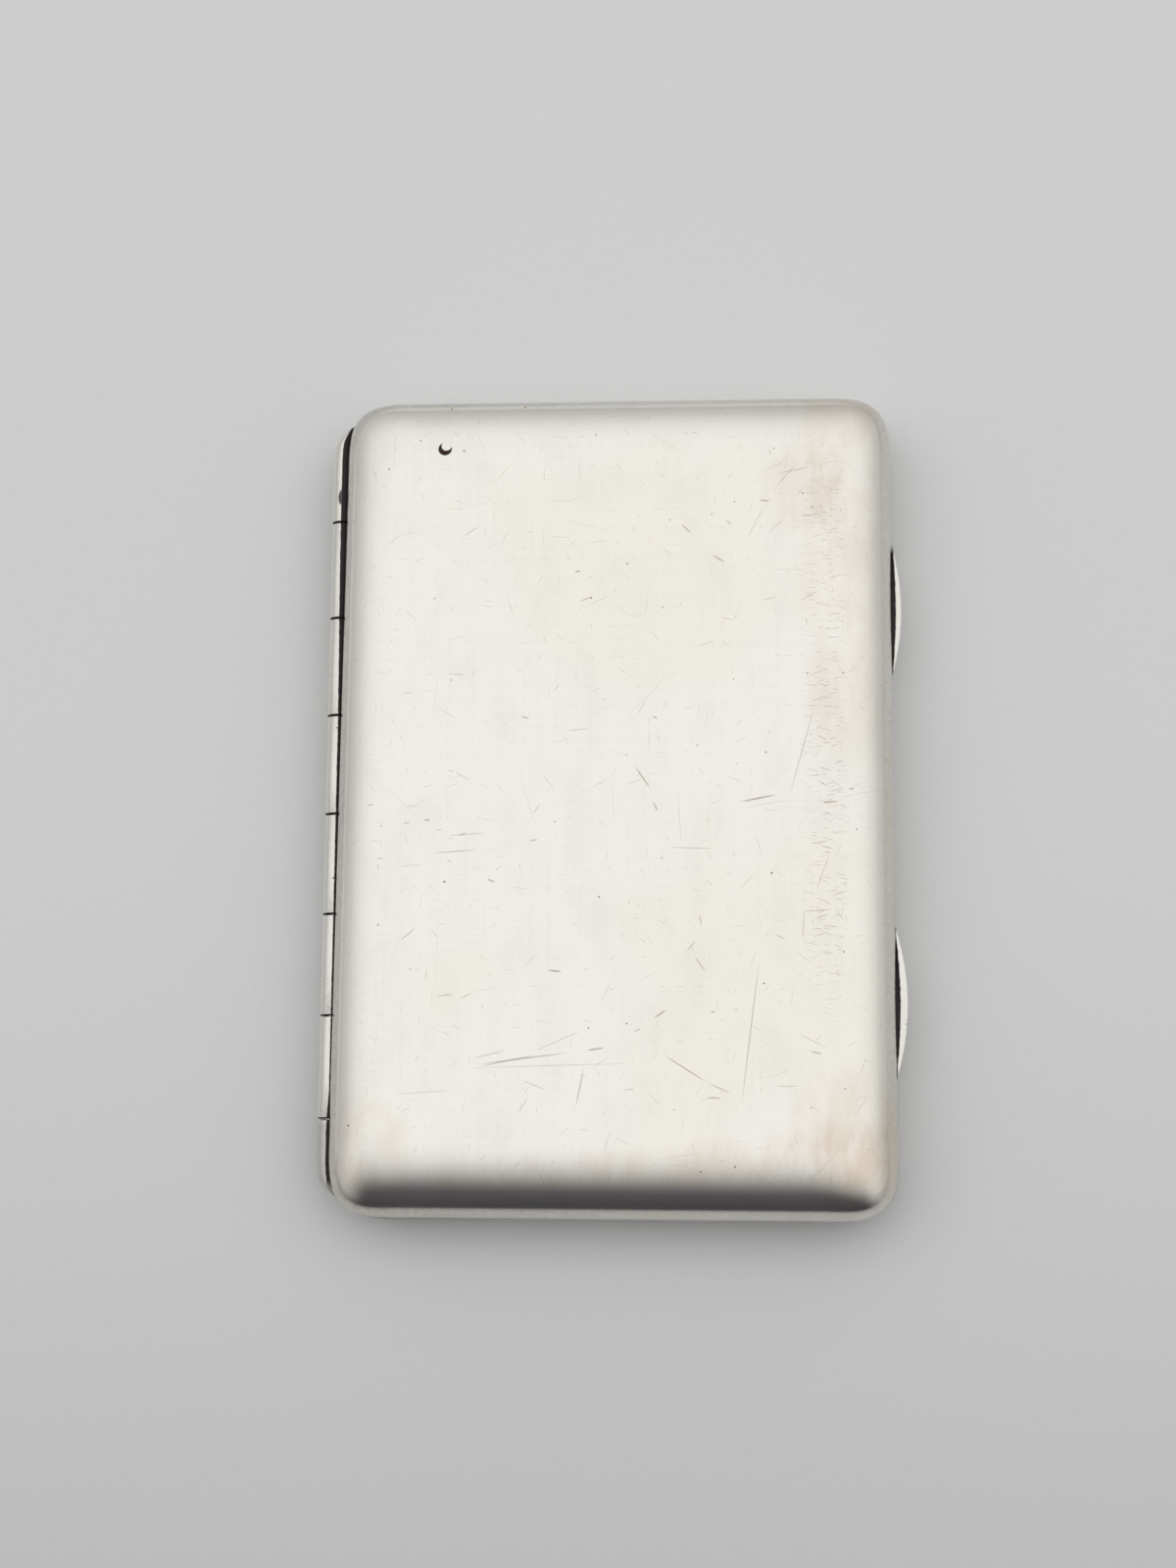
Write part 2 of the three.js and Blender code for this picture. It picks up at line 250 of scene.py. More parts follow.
def close(piece):
    """Merges doubles, points the faces outwards and smooths all but the sharp edges."""
    bpy.ops.mesh.select_all(action="SELECT")
    bpy.ops.mesh.remove_doubles(threshold=MERGE)
    bpy.ops.mesh.normals_make_consistent(inside=False)
    bpy.ops.object.mode_set(mode="OBJECT")
    bpy.ops.object.shade_smooth_by_angle(angle=SMOOTH_ANGLE)
    return piece


def draw_out(shift):
    """Extrudes the selected face by a shift."""
    bpy.ops.mesh.extrude_region_move(TRANSFORM_OT_translate={"value": tuple(shift)})


def scale(value, centre):
    """Scales the selection about a centre."""
    bpy.ops.transform.resize(value=value, center_override=tuple(centre))


def rotate(angle, axis, centre):
    """Turns the selection by a right-handed angle about an axis through a centre."""
    bpy.ops.transform.rotate(value=-angle, orient_axis=axis, center_override=tuple(centre))


def remove(piece):
    """Deletes a piece that was only needed on the way."""
    pick(piece)
    bpy.ops.object.delete()


def cut_away(piece, cutter):
    """Cuts a piece by a cutter and removes the cutter."""
    pick(piece)
    bpy.ops.object.modifier_add(type="BOOLEAN")
    modifier = piece.modifiers[-1]
    modifier.operation = "DIFFERENCE"
    modifier.solver = "EXACT"
    modifier.object = cutter
    bpy.ops.object.modifier_apply(modifier=modifier.name)
    remove(cutter)
    pick(piece)
    if not piece.data.polygons:
        raise RuntimeError(f"{piece.name}: the cut left nothing")
    bpy.ops.object.shade_smooth_by_angle(angle=SMOOTH_ANGLE)


def soften(piece, width):
    """Rounds the sharp edges of a piece by an applied bevel."""
    pick(piece)
    bpy.ops.object.modifier_add(type="BEVEL")
    modifier = piece.modifiers[-1]
    modifier.width = width
    modifier.segments = 2
    modifier.limit_method = "ANGLE"
    modifier.angle_limit = SHARP_ANGLE
    bpy.ops.object.modifier_apply(modifier=modifier.name)
    bpy.ops.object.shade_smooth_by_angle(angle=SMOOTH_ANGLE)


def copy_of(piece, name, shift):
    """Copies a piece with a mesh of its own and moves the copy."""
    pick(piece)
    bpy.ops.object.duplicate(linked=False)
    copy = bpy.context.object
    copy.name = name
    copy.data.name = name
    bpy.ops.transform.translate(value=tuple(shift))
    bpy.ops.object.transform_apply(location=True, rotation=True, scale=True)
    return copy


def finished(piece, body, slot, node, *materials):
    """Gives a piece its materials and its body, and hides the solid that it stands for."""
    if not piece.data.materials:
        for material in materials:
            piece.data.materials.append(material)
    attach(piece, body)
    if node:
        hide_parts(node)
    return piece


def dress(node, material):
    """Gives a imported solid, which is kept as it is, a finish."""
    for slot in frame["nodes"][node].material_slots:
        slot.material = material


def piece_name(node):
    """Name of the piece that stands for a solid."""
    name = node.replace("lower", "base").replace("upper", "lid")
    return name[0].upper() + name[1:]


# Forms that several pieces share

def cut_off(place):
    """Cuts the open piece by an upright plane, closes the cut and drops what lies towards the hinge."""
    bpy.ops.mesh.select_all(action="SELECT")
    bpy.ops.mesh.bisect(plane_co=(place, 0, 0), plane_no=(1, 0, 0), use_fill=True, clear_inner=True)


def disc(name, sides, radius, place, turn=(0, 0, 0)):
    """A flat round face that a piece is drawn from."""
    return begin(
        name, bpy.ops.mesh.primitive_circle_add, vertices=sides, radius=radius, fill_type="NGON",
        location=place, rotation=turn)


def draw_levels(place, levels):
    """Draws the selected round face upright through levels, each a height and a radius or its share."""
    height, wide = levels[0]
    for next_height, next_wide in levels[1:]:
        draw_out((0, 0, next_height - height))
        grow = next_wide / wide
        scale((grow, grow, 1), (*place, next_height))
        height, wide = next_height, next_wide


def bridge(piece, axis, place):
    """Joins the first and last face of a closed ring, which lie at one place along an axis."""
    facing = 0.99
    choose(
        piece, "FACE",
        lambda middle, way: abs(middle[axis] - place) < MERGE and abs(way[axis]) > facing)
    bpy.ops.mesh.bridge_edge_loops()


def plan_outline(sizes, name):
    """Flat outline of the body seen from above, with soft corners and its sides divided."""
    piece = begin(name, bpy.ops.mesh.primitive_plane_add, size=sizes.width)
    scale((1, sizes.length / sizes.width, 1), (0, 0, 0))
    bpy.ops.mesh.bevel(
        offset_type="OFFSET", offset=sizes.corner_reach, segments=CORNER_STEPS,
        profile=2 ** (-2 / sizes.corner_power), affect="VERTICES", clamp_overlap=False)
    choose(piece, "EDGE", lambda middle, way: way.length > sizes.corner_reach)
    bpy.ops.mesh.subdivide(number_cuts=SIDE_CUTS)
    bpy.ops.mesh.select_mode(type="FACE")
    bpy.ops.mesh.select_all(action="SELECT")
    return piece


def draw_rings(sizes, rings):
    """Draws the outline through rings, each a half width, a half length and a height."""
    half_width, half_length, height = sizes.width / 2, sizes.length / 2, 0
    for number, ring in enumerate(rings):
        shift = (0, 0, ring[2] - height)
        if number:
            draw_out(shift)
        else:
            bpy.ops.transform.translate(value=shift)
        scale((ring[0] / half_width, ring[1] / half_length, 1), (0, 0, ring[2]))
        half_width, half_length, height = ring


def edge_rings(sizes, inset):
    """Rings of the lid's rolled edge, from its flat face to its widest line."""
    edge_drop = sizes.thickness / 2 - sizes.seam_wall
    run = sizes.edge_run - inset
    rings = []
    for step in range(EDGE_STEPS + 1):
        turn = math.pi / 2 * step / EDGE_STEPS
        pull = inset + run * (1 - math.sin(turn) ** (2 / sizes.edge_power))
        rise = (edge_drop - inset) * math.cos(turn) ** (2 / sizes.edge_power)
        height = sizes.thickness - edge_drop + rise
        rings.append((sizes.width / 2 - pull, sizes.length / 2 - pull, height))
    return rings


def face_height(sizes, inset):
    """Height of the lid's outer face at a distance in from its side."""
    edge_drop = sizes.thickness / 2 - sizes.seam_wall
    share = max(1 - inset / sizes.edge_run, 0)
    rise = (1 - share ** sizes.edge_power) ** (1 / sizes.edge_power)
    return sizes.thickness - edge_drop + edge_drop * rise


def drawn_in(ring, by, rise=0.0):
    """A ring moved in by a distance on all sides, and up."""
    return ring[0] - by, ring[1] - by, ring[2] + rise


def rod(name, stations):
    """Stepped round rod along the hinge axis, through stations of a place along it and a radius."""
    place, radius = stations[0]
    piece = disc(name, ROUND_SIDES, radius, (HINGE.x, place, HINGE.z), (math.pi / 2, 0, 0))
    for next_place, next_radius in stations[1:]:
        draw_out((0, next_place - place, 0))
        grow = next_radius / radius
        scale((grow, 1, grow), (HINGE.x, next_place, HINGE.z))
        place, radius = next_place, next_radius
    return piece


def groove_rod(sizes, own):
    """Rod that cuts the hinge groove: close around a body's own tubes, wider around the others."""
    reach = 0.3 * MM
    stations = []
    tubes = LID_KNUCKLES + BASE_TUBES
    ends = sorted((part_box(node)[0].y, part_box(node)[1].y, node in own) for node in tubes)
    for number, (low, high, is_own) in enumerate(ends):
        gap = sizes.seat_gap if is_own else sizes.swing_gap
        radius = sizes.tube_radius + gap
        first = low - reach if number == 0 else (low + ends[number - 1][1]) / 2
        last = high + reach if number == len(ends) - 1 else (high + ends[number + 1][0]) / 2
        stations += [(first, radius), (last, radius)]
    return close(rod("Groove rod", stations))


def sweep(points, axis):
    """Draws the selected face along points in one plane, turning it about the plane's axis."""
    other = {"X": ("y", "z"), "Y": ("z", "x")}[axis]

    def heading(first, last):
        step = last - first
        return math.atan2(getattr(step, other[1]), getattr(step, other[0]))

    headings = [heading(a, b) for a, b in zip(points, points[1:])]
    facing = headings[0]
    for number in range(1, len(points)):
        draw_out(points[number] - points[number - 1])
        after = headings[min(number, len(headings) - 1)]
        turn = math.remainder(after - headings[number - 1], 2 * math.pi)
        wanted = headings[number - 1] + turn / 2
        swing = math.remainder(wanted - facing, 2 * math.pi)
        if abs(swing) > MERGE:
            rotate(swing, axis, points[number])
        facing = wanted


def arc(centre, radius, start, end, steps, plane):
    """Points of an arc in the plane of two axes, without its first point."""
    points = []
    for step in range(1, steps + 1):
        turn = start + (end - start) * step / steps
        point = Vector(centre)
        setattr(point, plane[0], getattr(point, plane[0]) + radius * math.cos(turn))
        setattr(point, plane[1], getattr(point, plane[1]) + radius * math.sin(turn))
        points.append(point)
    return points


# Shader maths

def maths(operation, swapped=False):
    """A method of Value that adds a Math node, with another value or number where it takes one."""
    def method(self, other=None):
        first, second = (other, self) if swapped else (self, other)
        inputs = {0: first} if second is None else {0: first, 1: second}
        node = self.graph.node("ShaderNodeMath", {"operation": operation}, inputs)
        return Value(self.graph, node.outputs[0])
    return method


class Value:
    """A socket that shader maths is written with."""

    def __init__(self, graph, socket):
        self.graph = graph
        self.socket = socket

    __add__ = maths("ADD")
    __radd__ = maths("ADD", swapped=True)
    __sub__ = maths("SUBTRACT")
    __rsub__ = maths("SUBTRACT", swapped=True)
    __mul__ = maths("MULTIPLY")
    __rmul__ = maths("MULTIPLY", swapped=True)
    __truediv__ = maths("DIVIDE")
    __pow__ = maths("POWER")
    __lt__ = maths("LESS_THAN")
    __abs__ = maths("ABSOLUTE")
    least = maths("MINIMUM")
    most = maths("MAXIMUM")
    sine = maths("SINE")
    cosine = maths("COSINE")


class Graph:
    """A node tree that is built by one method."""

    def __init__(self, tree):
        self.tree = tree

    def node(self, kind, settings=None, inputs=None):
        """Adds a node, sets its settings first and then its sockets' values or links."""
        node = self.tree.nodes.new(kind)
        for name, setting in (settings or {}).items():
            setattr(node, name, setting)
        for name, value in (inputs or {}).items():
            socket = node.inputs[name]
            if isinstance(value, Value):
                self.tree.links.new(value.socket, socket)
            else:
                socket.default_value = value
        return node

    def out(self, node, name=0):
        """One output of a node."""
        return Value(self, node.outputs[name])

    def parts(self, vector):
        """The three numbers of a vector."""
        node = self.node("ShaderNodeSeparateXYZ", None, {0: vector})
        return [Value(self, socket) for socket in node.outputs]

    def moved(self, vector, operation, by):
        """A vector added to, scaled or otherwise changed by Vector Math."""
        slot = "Scale" if operation == "SCALE" else 1
        node = self.node("ShaderNodeVectorMath", {"operation": operation}, {0: vector, slot: by})
        return self.out(node)

    def ramp(self, value, low, high, bottom=0.0, top=1.0):
        """A smooth step from a bottom to a top value as a value goes from low to high."""
        node = self.node(
            "ShaderNodeMapRange", {"interpolation_type": "SMOOTHSTEP", "clamp": True},
            {"Value": value, "From Min": low, "From Max": high, "To Min": bottom, "To Max": top})
        return self.out(node, "Result")

    def noise(self, vector, scale, detail=2.0, roughness=0.5):
        """Cloudy noise from 0 to 1."""
        node = self.node(
            "ShaderNodeTexNoise", {"noise_dimensions": "3D"},
            {"Vector": vector, "Scale": scale, "Detail": detail, "Roughness": roughness})
        return self.out(node, "Fac")

    def blend(self, share, first, second):
        """A mix of two colours."""
        node = self.node("ShaderNodeMix", {"data_type": "RGBA"}, {"Factor": share})
        for socket, tone in (("A_Color", first), ("B_Color", second)):
            target = next(entry for entry in node.inputs if entry.identifier == socket)
            if isinstance(tone, Value):
                self.tree.links.new(tone.socket, target)
            else:
                target.default_value = (*tone, 1)
        result = next(entry for entry in node.outputs if entry.identifier == "Result_Color")
        return Value(self, result)


class Finish(Graph):
    """A material on Object coordinates, which are given in millimetres."""

    def __init__(self, name, metallic):
        self.material = bpy.data.materials.new(name)
        self.material.use_nodes = True
        super().__init__(self.material.node_tree)
        self.shader = self.tree.nodes["Principled BSDF"]
        self.shader.inputs["Metallic"].default_value = metallic
        place = self.out(self.node("ShaderNodeTexCoord"), "Object")
        self.place = self.moved(place, "SCALE", 1 / MM)
        self.x, self.y, self.z = self.parts(self.place)

    def feed(self, socket, value):
        """Joins a value to a socket of the material's shader."""
        self.tree.links.new(value.socket, self.shader.inputs[socket])

    def emboss(self, height, depth):
        """Bump of a height pattern whose full depth is given in metres."""
        node = self.node("ShaderNodeBump", None, {"Strength": 1.0, "Distance": depth, "Height": height})
        self.feed("Normal", self.out(node, "Normal"))

    def streaks(self, stretch, detail=3.0, roughness=0.6):
        """Noise drawn out by a scale along each axis."""
        return self.noise(self.moved(self.place, "MULTIPLY", stretch), 1.0, detail, roughness)

    def cells(self, flat, spacing):
        """Scattered cells, one about every spacing."""
        return self.node(
            "ShaderNodeTexVoronoi", {"voronoi_dimensions": "2D", "feature": "F1"},
            {"Vector": flat, "Scale": 1 / spacing, "Randomness": 1.0})

    def away(self, x, y, wide=1.0, long=1.0):
        """Square of the distance from a place, counted in half widths and half lengths."""
        right, up = (self.x - x) / wide, (self.y - y) / long
        return right * right + up * up

    def scratches(self, spacing, reach, width, direction, spread, share, shift, stretch=1.0):
        """Short straight scratches, at most one to each cell, in millimetres and radians."""
        flat = self.moved(self.moved(self.place, "MULTIPLY", (1 / stretch, 1, 0)), "ADD", shift)
        cells = self.cells(flat, spacing)
        chance, kept, strength = self.parts(self.out(cells, "Color"))
        right, up, _ = self.parts(self.moved(flat, "SUBTRACT", self.out(cells, "Position")))
        right = right * stretch
        turn = direction + (chance - 0.5) * spread
        cosine, sine = turn.cosine(), turn.sine()
        along = abs(right * cosine + up * sine)
        across = abs(up * cosine - right * sine)
        line = self.ramp(across, width, 0.3 * width)
        ends = self.ramp(along, reach * (0.4 + 0.6 * strength), 0.1 * reach)
        return line * ends * (kept < share) * (0.3 + 0.7 * strength)

    def mark(self, first, last, width):
        """One scratch between two places on the face, in millimetres, deepest at its middle."""
        run, rise = (last[0] - first[0]) / 2, (last[1] - first[1]) / 2
        half = math.hypot(run, rise)
        right = self.x - (first[0] + last[0]) / 2
        up = self.y - (first[1] + last[1]) / 2
        along = right * (run / half ** 2) + up * (rise / half ** 2)
        across = up * (run / half / width) - right * (rise / half / width)
        return (2 - 2 * (along * along + across * across)).most(0.0).least(1.0)

    def dots(self, spacing, radius, share, shift):
        """Small round pits, at most one to each cell."""
        cells = self.cells(self.moved(self.place, "ADD", shift), spacing)
        kept, size, _ = self.parts(self.out(cells, "Color"))
        away = self.out(cells, "Distance") * spacing
        return self.ramp(away / (0.4 + 0.6 * size), radius, 0.5 * radius) * (kept < share)


def worn_silver(colours, name, shift, seam_film_and_shade, crevice_residue_and_shade, lines=()):
    """Polished silver worn to a soft satin, with scratches, pits, clouds, a brown-grey film at the seam
    that is partly real tarnishing and partly painted shade on the edges, and black residue with painted
    shade in the crevices.
    """
    finish = Finish(name, 1.0)
    ramp, blend = finish.ramp, finish.blend

    def moved(right, up):
        return shift[0] + right, shift[1] + up, 0

    cloud = finish.noise(finish.moved(finish.place, "ADD", shift), 0.045, 2.0)
    brushing = (finish.streaks((2.6, 0.05, 2.6)) + finish.streaks((0.05, 2.6, 2.6))) * 0.5
    mottle = finish.streaks((0.2, 0.1, 0.2), 4.0, 0.65)
    grain = finish.noise(finish.place, 1.6, 3.0, 0.6)
    fine = finish.scratches(
        spacing=1.7, reach=0.7, width=0.05, direction=0.1, spread=6.2, share=0.5, shift=shift)
    short = finish.scratches(
        spacing=3.6, reach=1.5, width=0.06, direction=0.15, spread=3.0, share=0.4, shift=moved(7, 3))
    long = finish.scratches(
        spacing=9.0, reach=4.2, width=0.05, direction=1.2, spread=5.6, share=0.4, shift=moved(23, 11))
    worn = fine * 0.42 + short * 0.42 + long * 0.3
    pits = finish.dots(spacing=3.6, radius=0.12, share=0.12, shift=moved(31, 5))
    pits = pits + finish.dots(spacing=8.3, radius=0.15, share=0.25, shift=moved(2, 0))

    tone = blend(ramp(cloud, 0.42, 0.68) * 0.5, colours.silver, colours.warm_silver)
    # The seam film is partly real tarnishing and partly painted shade: it darkens the rolled edges and
    # rims where they mirror the shaded floor, more towards the hinge side.
    film = ramp(abs(finish.z - SEAM_LEVEL), 3.25, 2.9) * (0.6 + 0.4 * ramp(grain, 0.25, 0.65))
    film = film * ramp(finish.x, 10, -25, 0.85, 1.2) * seam_film_and_shade
    haze = ramp(mottle, 0.42, 0.75) * 0.07 + ramp(brushing, 0.47, 0.7) * 0.05
    tone = blend(film + haze, tone, colours.tarnish)
    cuts = worn
    if lines:
        tone = blend(old_stain(finish, mottle), tone, colours.stain)
        cuts = cuts + rubbed_side(finish, mottle)
    for first, last, depth in lines:
        cuts = cuts + finish.mark(first, last, 0.05 + 0.04 * depth) * depth
    cuts = cuts.least(1.0)
    tone = blend((cuts * 0.62 + pits * 0.8).least(1.0), tone, colours.scratch)
    # Black residue together with painted shade in the crevices and gaps; it also lowers the metal and
    # raises the roughness there.
    dirt_and_shade = crevice_residue_and_shade(finish, grain)
    tone = blend(dirt_and_shade, tone, colours.grime)
    if lines:
        brown = crescent_nick(finish)
        tone = blend(brown, tone, colours.nick)
        dirt_and_shade = dirt_and_shade.most(brown)
    finish.feed("Base Color", tone)
    finish.feed("Metallic", 1 - dirt_and_shade * 0.85)
    finish.feed("Roughness", 0.13 + brushing * 0.04 + film * 0.1 + cuts * 0.2 + pits * 0.3 + dirt_and_shade * 0.4)
    finish.emboss(brushing * 0.12 + cloud * 0.5 - worn * 0.4 - pits, 0.012 * MM)
    return finish.material


def rubbed_side(finish, mottle):
    """Dense short rubbing marks along the thumb side of the face, in loose clusters."""
    ramp, x, y = finish.ramp, finish.x, finish.y
    short = finish.scratches(
        spacing=0.42, reach=0.6, width=0.055, direction=0.05, spread=0.8, share=0.5, shift=(3, 9, 0),
        stretch=3.0)
    across = finish.scratches(
        spacing=0.8, reach=1.2, width=0.055, direction=-0.05, spread=0.9, share=0.6, shift=(8, 2, 0),
        stretch=2.4)
    lengthwise = finish.scratches(
        spacing=1.9, reach=0.9, width=0.05, direction=1.2, spread=1.6, share=0.4, shift=(1, 5, 0))
    side = ramp(x, 18.6, 20.8) * ramp(x, 24.4, 22.6)
    side = side * ramp(y, -27.0, -14.0) * ramp(y, 37.0, 32.0)
    clusters = 0.75 + 0.25 * ramp(mottle, 0.4, 0.6)
    return (0.03 + short * 0.8 + across * 0.9 + lengthwise * 0.4) * side * clusters


def old_stain(finish, mottle):
    """Warm film on the near edge, in three round places and along the far half of the thumb side."""
    ramp, x, y = finish.ramp, finish.x, finish.y
    edge = ramp(y - x * 0.12, -35.0, -37.5) * ramp(y, -40.0, -38.5) * 0.4
    places = 0.0
    for middle_x, middle_y, size, share in STAIN_PLACES:
        places = places + ramp(finish.away(middle_x, middle_y, size, size), 1.0, 0.0) * share
    strip = ramp(x, 18.5, 21.5) * ramp(x, 28.0, 26.0) * 0.28 * ramp(y, 2.0, 10.0)
    return (edge + places + strip) * ramp(mottle, 0.3, 0.65)


def crescent_nick(finish):
    """Brown residue in the crescent nick of the face: a disc without a smaller one inside it."""
    x, y = NICK_PLACE[0] / MM, NICK_PLACE[1] / MM
    full = finish.ramp(finish.away(x, y), 0.56, 0.46)
    return full * finish.ramp(finish.away(x + 0.14, y + 0.34), 0.22, 0.32)


def gold_wash(colours, name):
    """Gold wash over silver, thin and worn in places, with fine rubbing marks."""
    finish = Finish(name, 1.0)
    cloud = finish.noise(finish.place, 0.07, 3.0, 0.6)
    grain = finish.noise(finish.place, 2.2, 3.0, 0.6)
    rubbed = finish.streaks((0.07, 2.4, 2.4))
    fine = finish.scratches(
        spacing=2.4, reach=1.0, width=0.04, direction=0.1, spread=5.5, share=0.6, shift=(41, 17, 0))
    long = finish.scratches(
        spacing=9.0, reach=4.2, width=0.05, direction=0.2, spread=2.0, share=0.5, shift=(13, 29, 0))
    worn = (fine * 0.6 + long).least(1.0)
    tone = finish.blend(finish.ramp(cloud, 0.45, 0.72) * 0.55, colours.gilt, colours.worn_gilt)
    tone = finish.blend(worn * 0.22 + finish.ramp(grain, 0.66, 0.85) * 0.1, tone, colours.tarnish)
    finish.feed("Base Color", tone)
    finish.feed("Roughness", 0.2 + cloud * 0.08 + rubbed * 0.06 + worn * 0.1)
    finish.emboss(rubbed * 0.1 + cloud * 0.4 - worn * 0.3, 0.01 * MM)
    return finish.material


def drawn_wire(colours, name):
    """Drawn nickel-silver wire with fine lines along its length."""
    finish = Finish(name, 1.0)
    drawn = finish.streaks((9.0, 0.2, 9.0), 2.0, 0.5)
    spots = finish.noise(finish.place, 0.9, 3.0, 0.6)
    tone = finish.blend(finish.ramp(spots, 0.5, 0.75) * 0.5, colours.nickel, colours.tarnish)
    finish.feed("Base Color", tone)
    finish.feed("Roughness", 0.24 + drawn * 0.14)
    finish.emboss(drawn, 0.01 * MM)
    return finish.material


def elastic_web(colours, name):
    """Woven elastic: rubber cords along the strap under fine crossing threads."""
    finish = Finish(name, 0.0)
    cord_pitch, rib_pitch = 0.62, 0.42
    cords = 0.5 + 0.5 * (finish.y * (2 * math.pi / cord_pitch)).cosine()
    ribs = 0.5 + 0.5 * (finish.x * (2 * math.pi / rib_pitch)).sine()
    along, across = finish.x * (math.pi / rib_pitch), finish.y * (math.pi / cord_pitch)
    checks = 0.5 + 0.5 * (along.sine() * across.sine())
    fuzz = finish.noise(finish.place, 7.0, 4.0, 0.7)
    fade = finish.noise(finish.place, 0.12, 2.0)
    raised = (cords * 0.45 + ribs * 0.35 + checks * 0.2) * (0.7 + 0.6 * fuzz)
    tone = finish.blend(finish.ramp(raised, 0.2, 0.85), colours.elastic, colours.elastic_light)
    tone = finish.blend(finish.ramp(fade, 0.5, 0.75) * 0.3, tone, colours.tarnish)
    finish.feed("Base Color", tone)
    finish.feed("Roughness", 0.93 - raised * 0.12)
    finish.shader.inputs["Sheen Weight"].default_value = 0.1
    finish.shader.inputs["Sheen Roughness"].default_value = 0.5
    finish.emboss(raised + fuzz * 0.3, 0.06 * MM)
    return finish.material


def sewing_thread(colours, name):
    """Twisted sewing thread."""
    finish = Finish(name, 0.0)
    twist_pitch = 0.16
    twist = 0.5 + 0.5 * ((finish.x + finish.y + finish.z) * (2 * math.pi / twist_pitch)).sine()
    fuzz = finish.noise(finish.place, 9.0, 3.0, 0.7)
    tone = finish.blend(twist * 0.6 + fuzz * 0.4, colours.elastic, colours.elastic_light)
    finish.feed("Base Color", tone)
    finish.feed("Roughness", 0.85 - twist * 0.15)
    finish.emboss(twist, 0.02 * MM)
    return finish.material


# Black residue and painted shade in the crevices, each a share from 0 to 1

def hinge_residue_and_shade(finish, grain):
    """Residue with painted shade where the lid's edge meets the tubes, residue in their joints and in a
    nick of the far end.
    """
    sizes = bpy.context.scene.case_sizes
    ramp, x, y = finish.ramp, finish.x, finish.y
    reach, power = sizes.corner_reach / MM, sizes.corner_power
    corner = ((abs(y) - (sizes.length / 2 / MM - reach)) / reach).most(0.0).least(1.0) ** power
    pull = reach * (1 - (1 - corner) ** (1 / power))
    edge = HINGE_X + 0.12 - ramp(y, 5, 30) * 0.2 - ramp(y, -29, -34) * 0.22
    edge = edge + pull + ramp(y, 38, 40.5) * 0.25 + (grain - 0.5) * 0.16
    inside = ramp(x - pull - y * 0.0044, HINGE_X + 0.58, HINGE_X + 0.42)
    upper = ramp(finish.z, HINGE_Z, HINGE_Z + 0.3)
    # Painted shade with residue on the upper side of the tubes under the lid's edge, where the gap to
    # the lid lies in shade.
    side = ramp(x - edge, -0.05, 0.05) * inside * upper * ramp(y, -40.6, -38.6)
    side = side.most(ramp(y, -32.4, -33.4) * 0.3)
    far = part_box(HINGE_ENDS[0])[0].y / MM
    pitch = (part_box(LID_KNUCKLES[0])[0].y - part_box(LID_KNUCKLES[1])[0].y) / MM / 2
    joint = abs(((y - far) * (math.pi / pitch)).sine()) * (pitch / math.pi)
    joints = ramp(joint, 0.13, 0.06) * ramp(y, far + 3, far + 2)
    nick = ramp(finish.away(*HINGE_NICK), 1.0, 0.5) * 0.9
    return side.most(joints).most(nick)


def rim_residue_and_shade(finish, height, groove_depth):
    """Residue with painted shade in the hinge groove, and a trace of both along the rim, by the height
    over the seam.
    """
    ramp = finish.ramp
    hinge_side = ramp(finish.x, -27.2, -27.9) * ramp(abs(finish.y), 40.5, 38.5)
    # The dark groove and rim trace paint the shade of the gaps at the hinge and the seam, together with
    # residue.
    groove = ramp(height, groove_depth + 0.2, groove_depth) * hinge_side
    return groove.most(ramp(height, 0.26, 0.12) * 0.35)


def lid_residue_and_shade(finish, grain):
    """Residue with painted shade along the lid's rim and over the hinge."""
    return rim_residue_and_shade(finish, finish.z - SEAM_LEVEL + (grain - 0.5) * 0.25, 1.2)


def base_residue_and_shade(finish, grain):
    """Residue with painted shade along the rim of the base and in its side of the hinge groove."""
    return rim_residue_and_shade(finish, SEAM_LEVEL - finish.z + (grain - 0.5) * 0.25, 1.05)


def slot_line(sizes, node):
    """Middle and length of a thumb-piece's slot; the far one is longer and leans outward."""
    low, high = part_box(node)
    middle = (low.y + high.y) / 2
    if middle > 0:
        return middle + sizes.slot_lean, sizes.far_slot
    return middle, sizes.near_slot


def thumb_residue_and_shade(finish, grain):
    """Residue with painted shade in the slot between a thumb-piece and the lid, widest at the middle of
    each.
    """
    sizes = bpy.context.scene.case_sizes
    ramp, y, z = finish.ramp, finish.y, finish.z
    far, near = (slot_line(sizes, node)[0] / MM for node in THUMB_PIECES)
    half = ramp(y, -1, 1, sizes.near_slot / 2 / MM, sizes.far_slot / 2 / MM)
    along = (abs(y - (far + near) / 2) - (far - near) / 2) / half
    reach = 0.07 + 0.36 * (1 - along * along).most(0.0) + (grain - 0.5) * 0.16
    wall_x = LID_HIGH.x / MM - y * math.tan(sizes.lid_skew)
    # Painted shade with residue: the narrow slot beside the lid is darkened where it lies in shade.
    slot = ramp(finish.x - wall_x - reach, 0.03, -0.05)
    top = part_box(THUMB_PIECES[0])[1].z / MM
    wall = ramp(z, 5.3, 6.0) * ramp(z, top - 0.05, top - 0.3)
    return slot * ramp(z, 4.6, 4.9) * (1 - wall * 0.8)


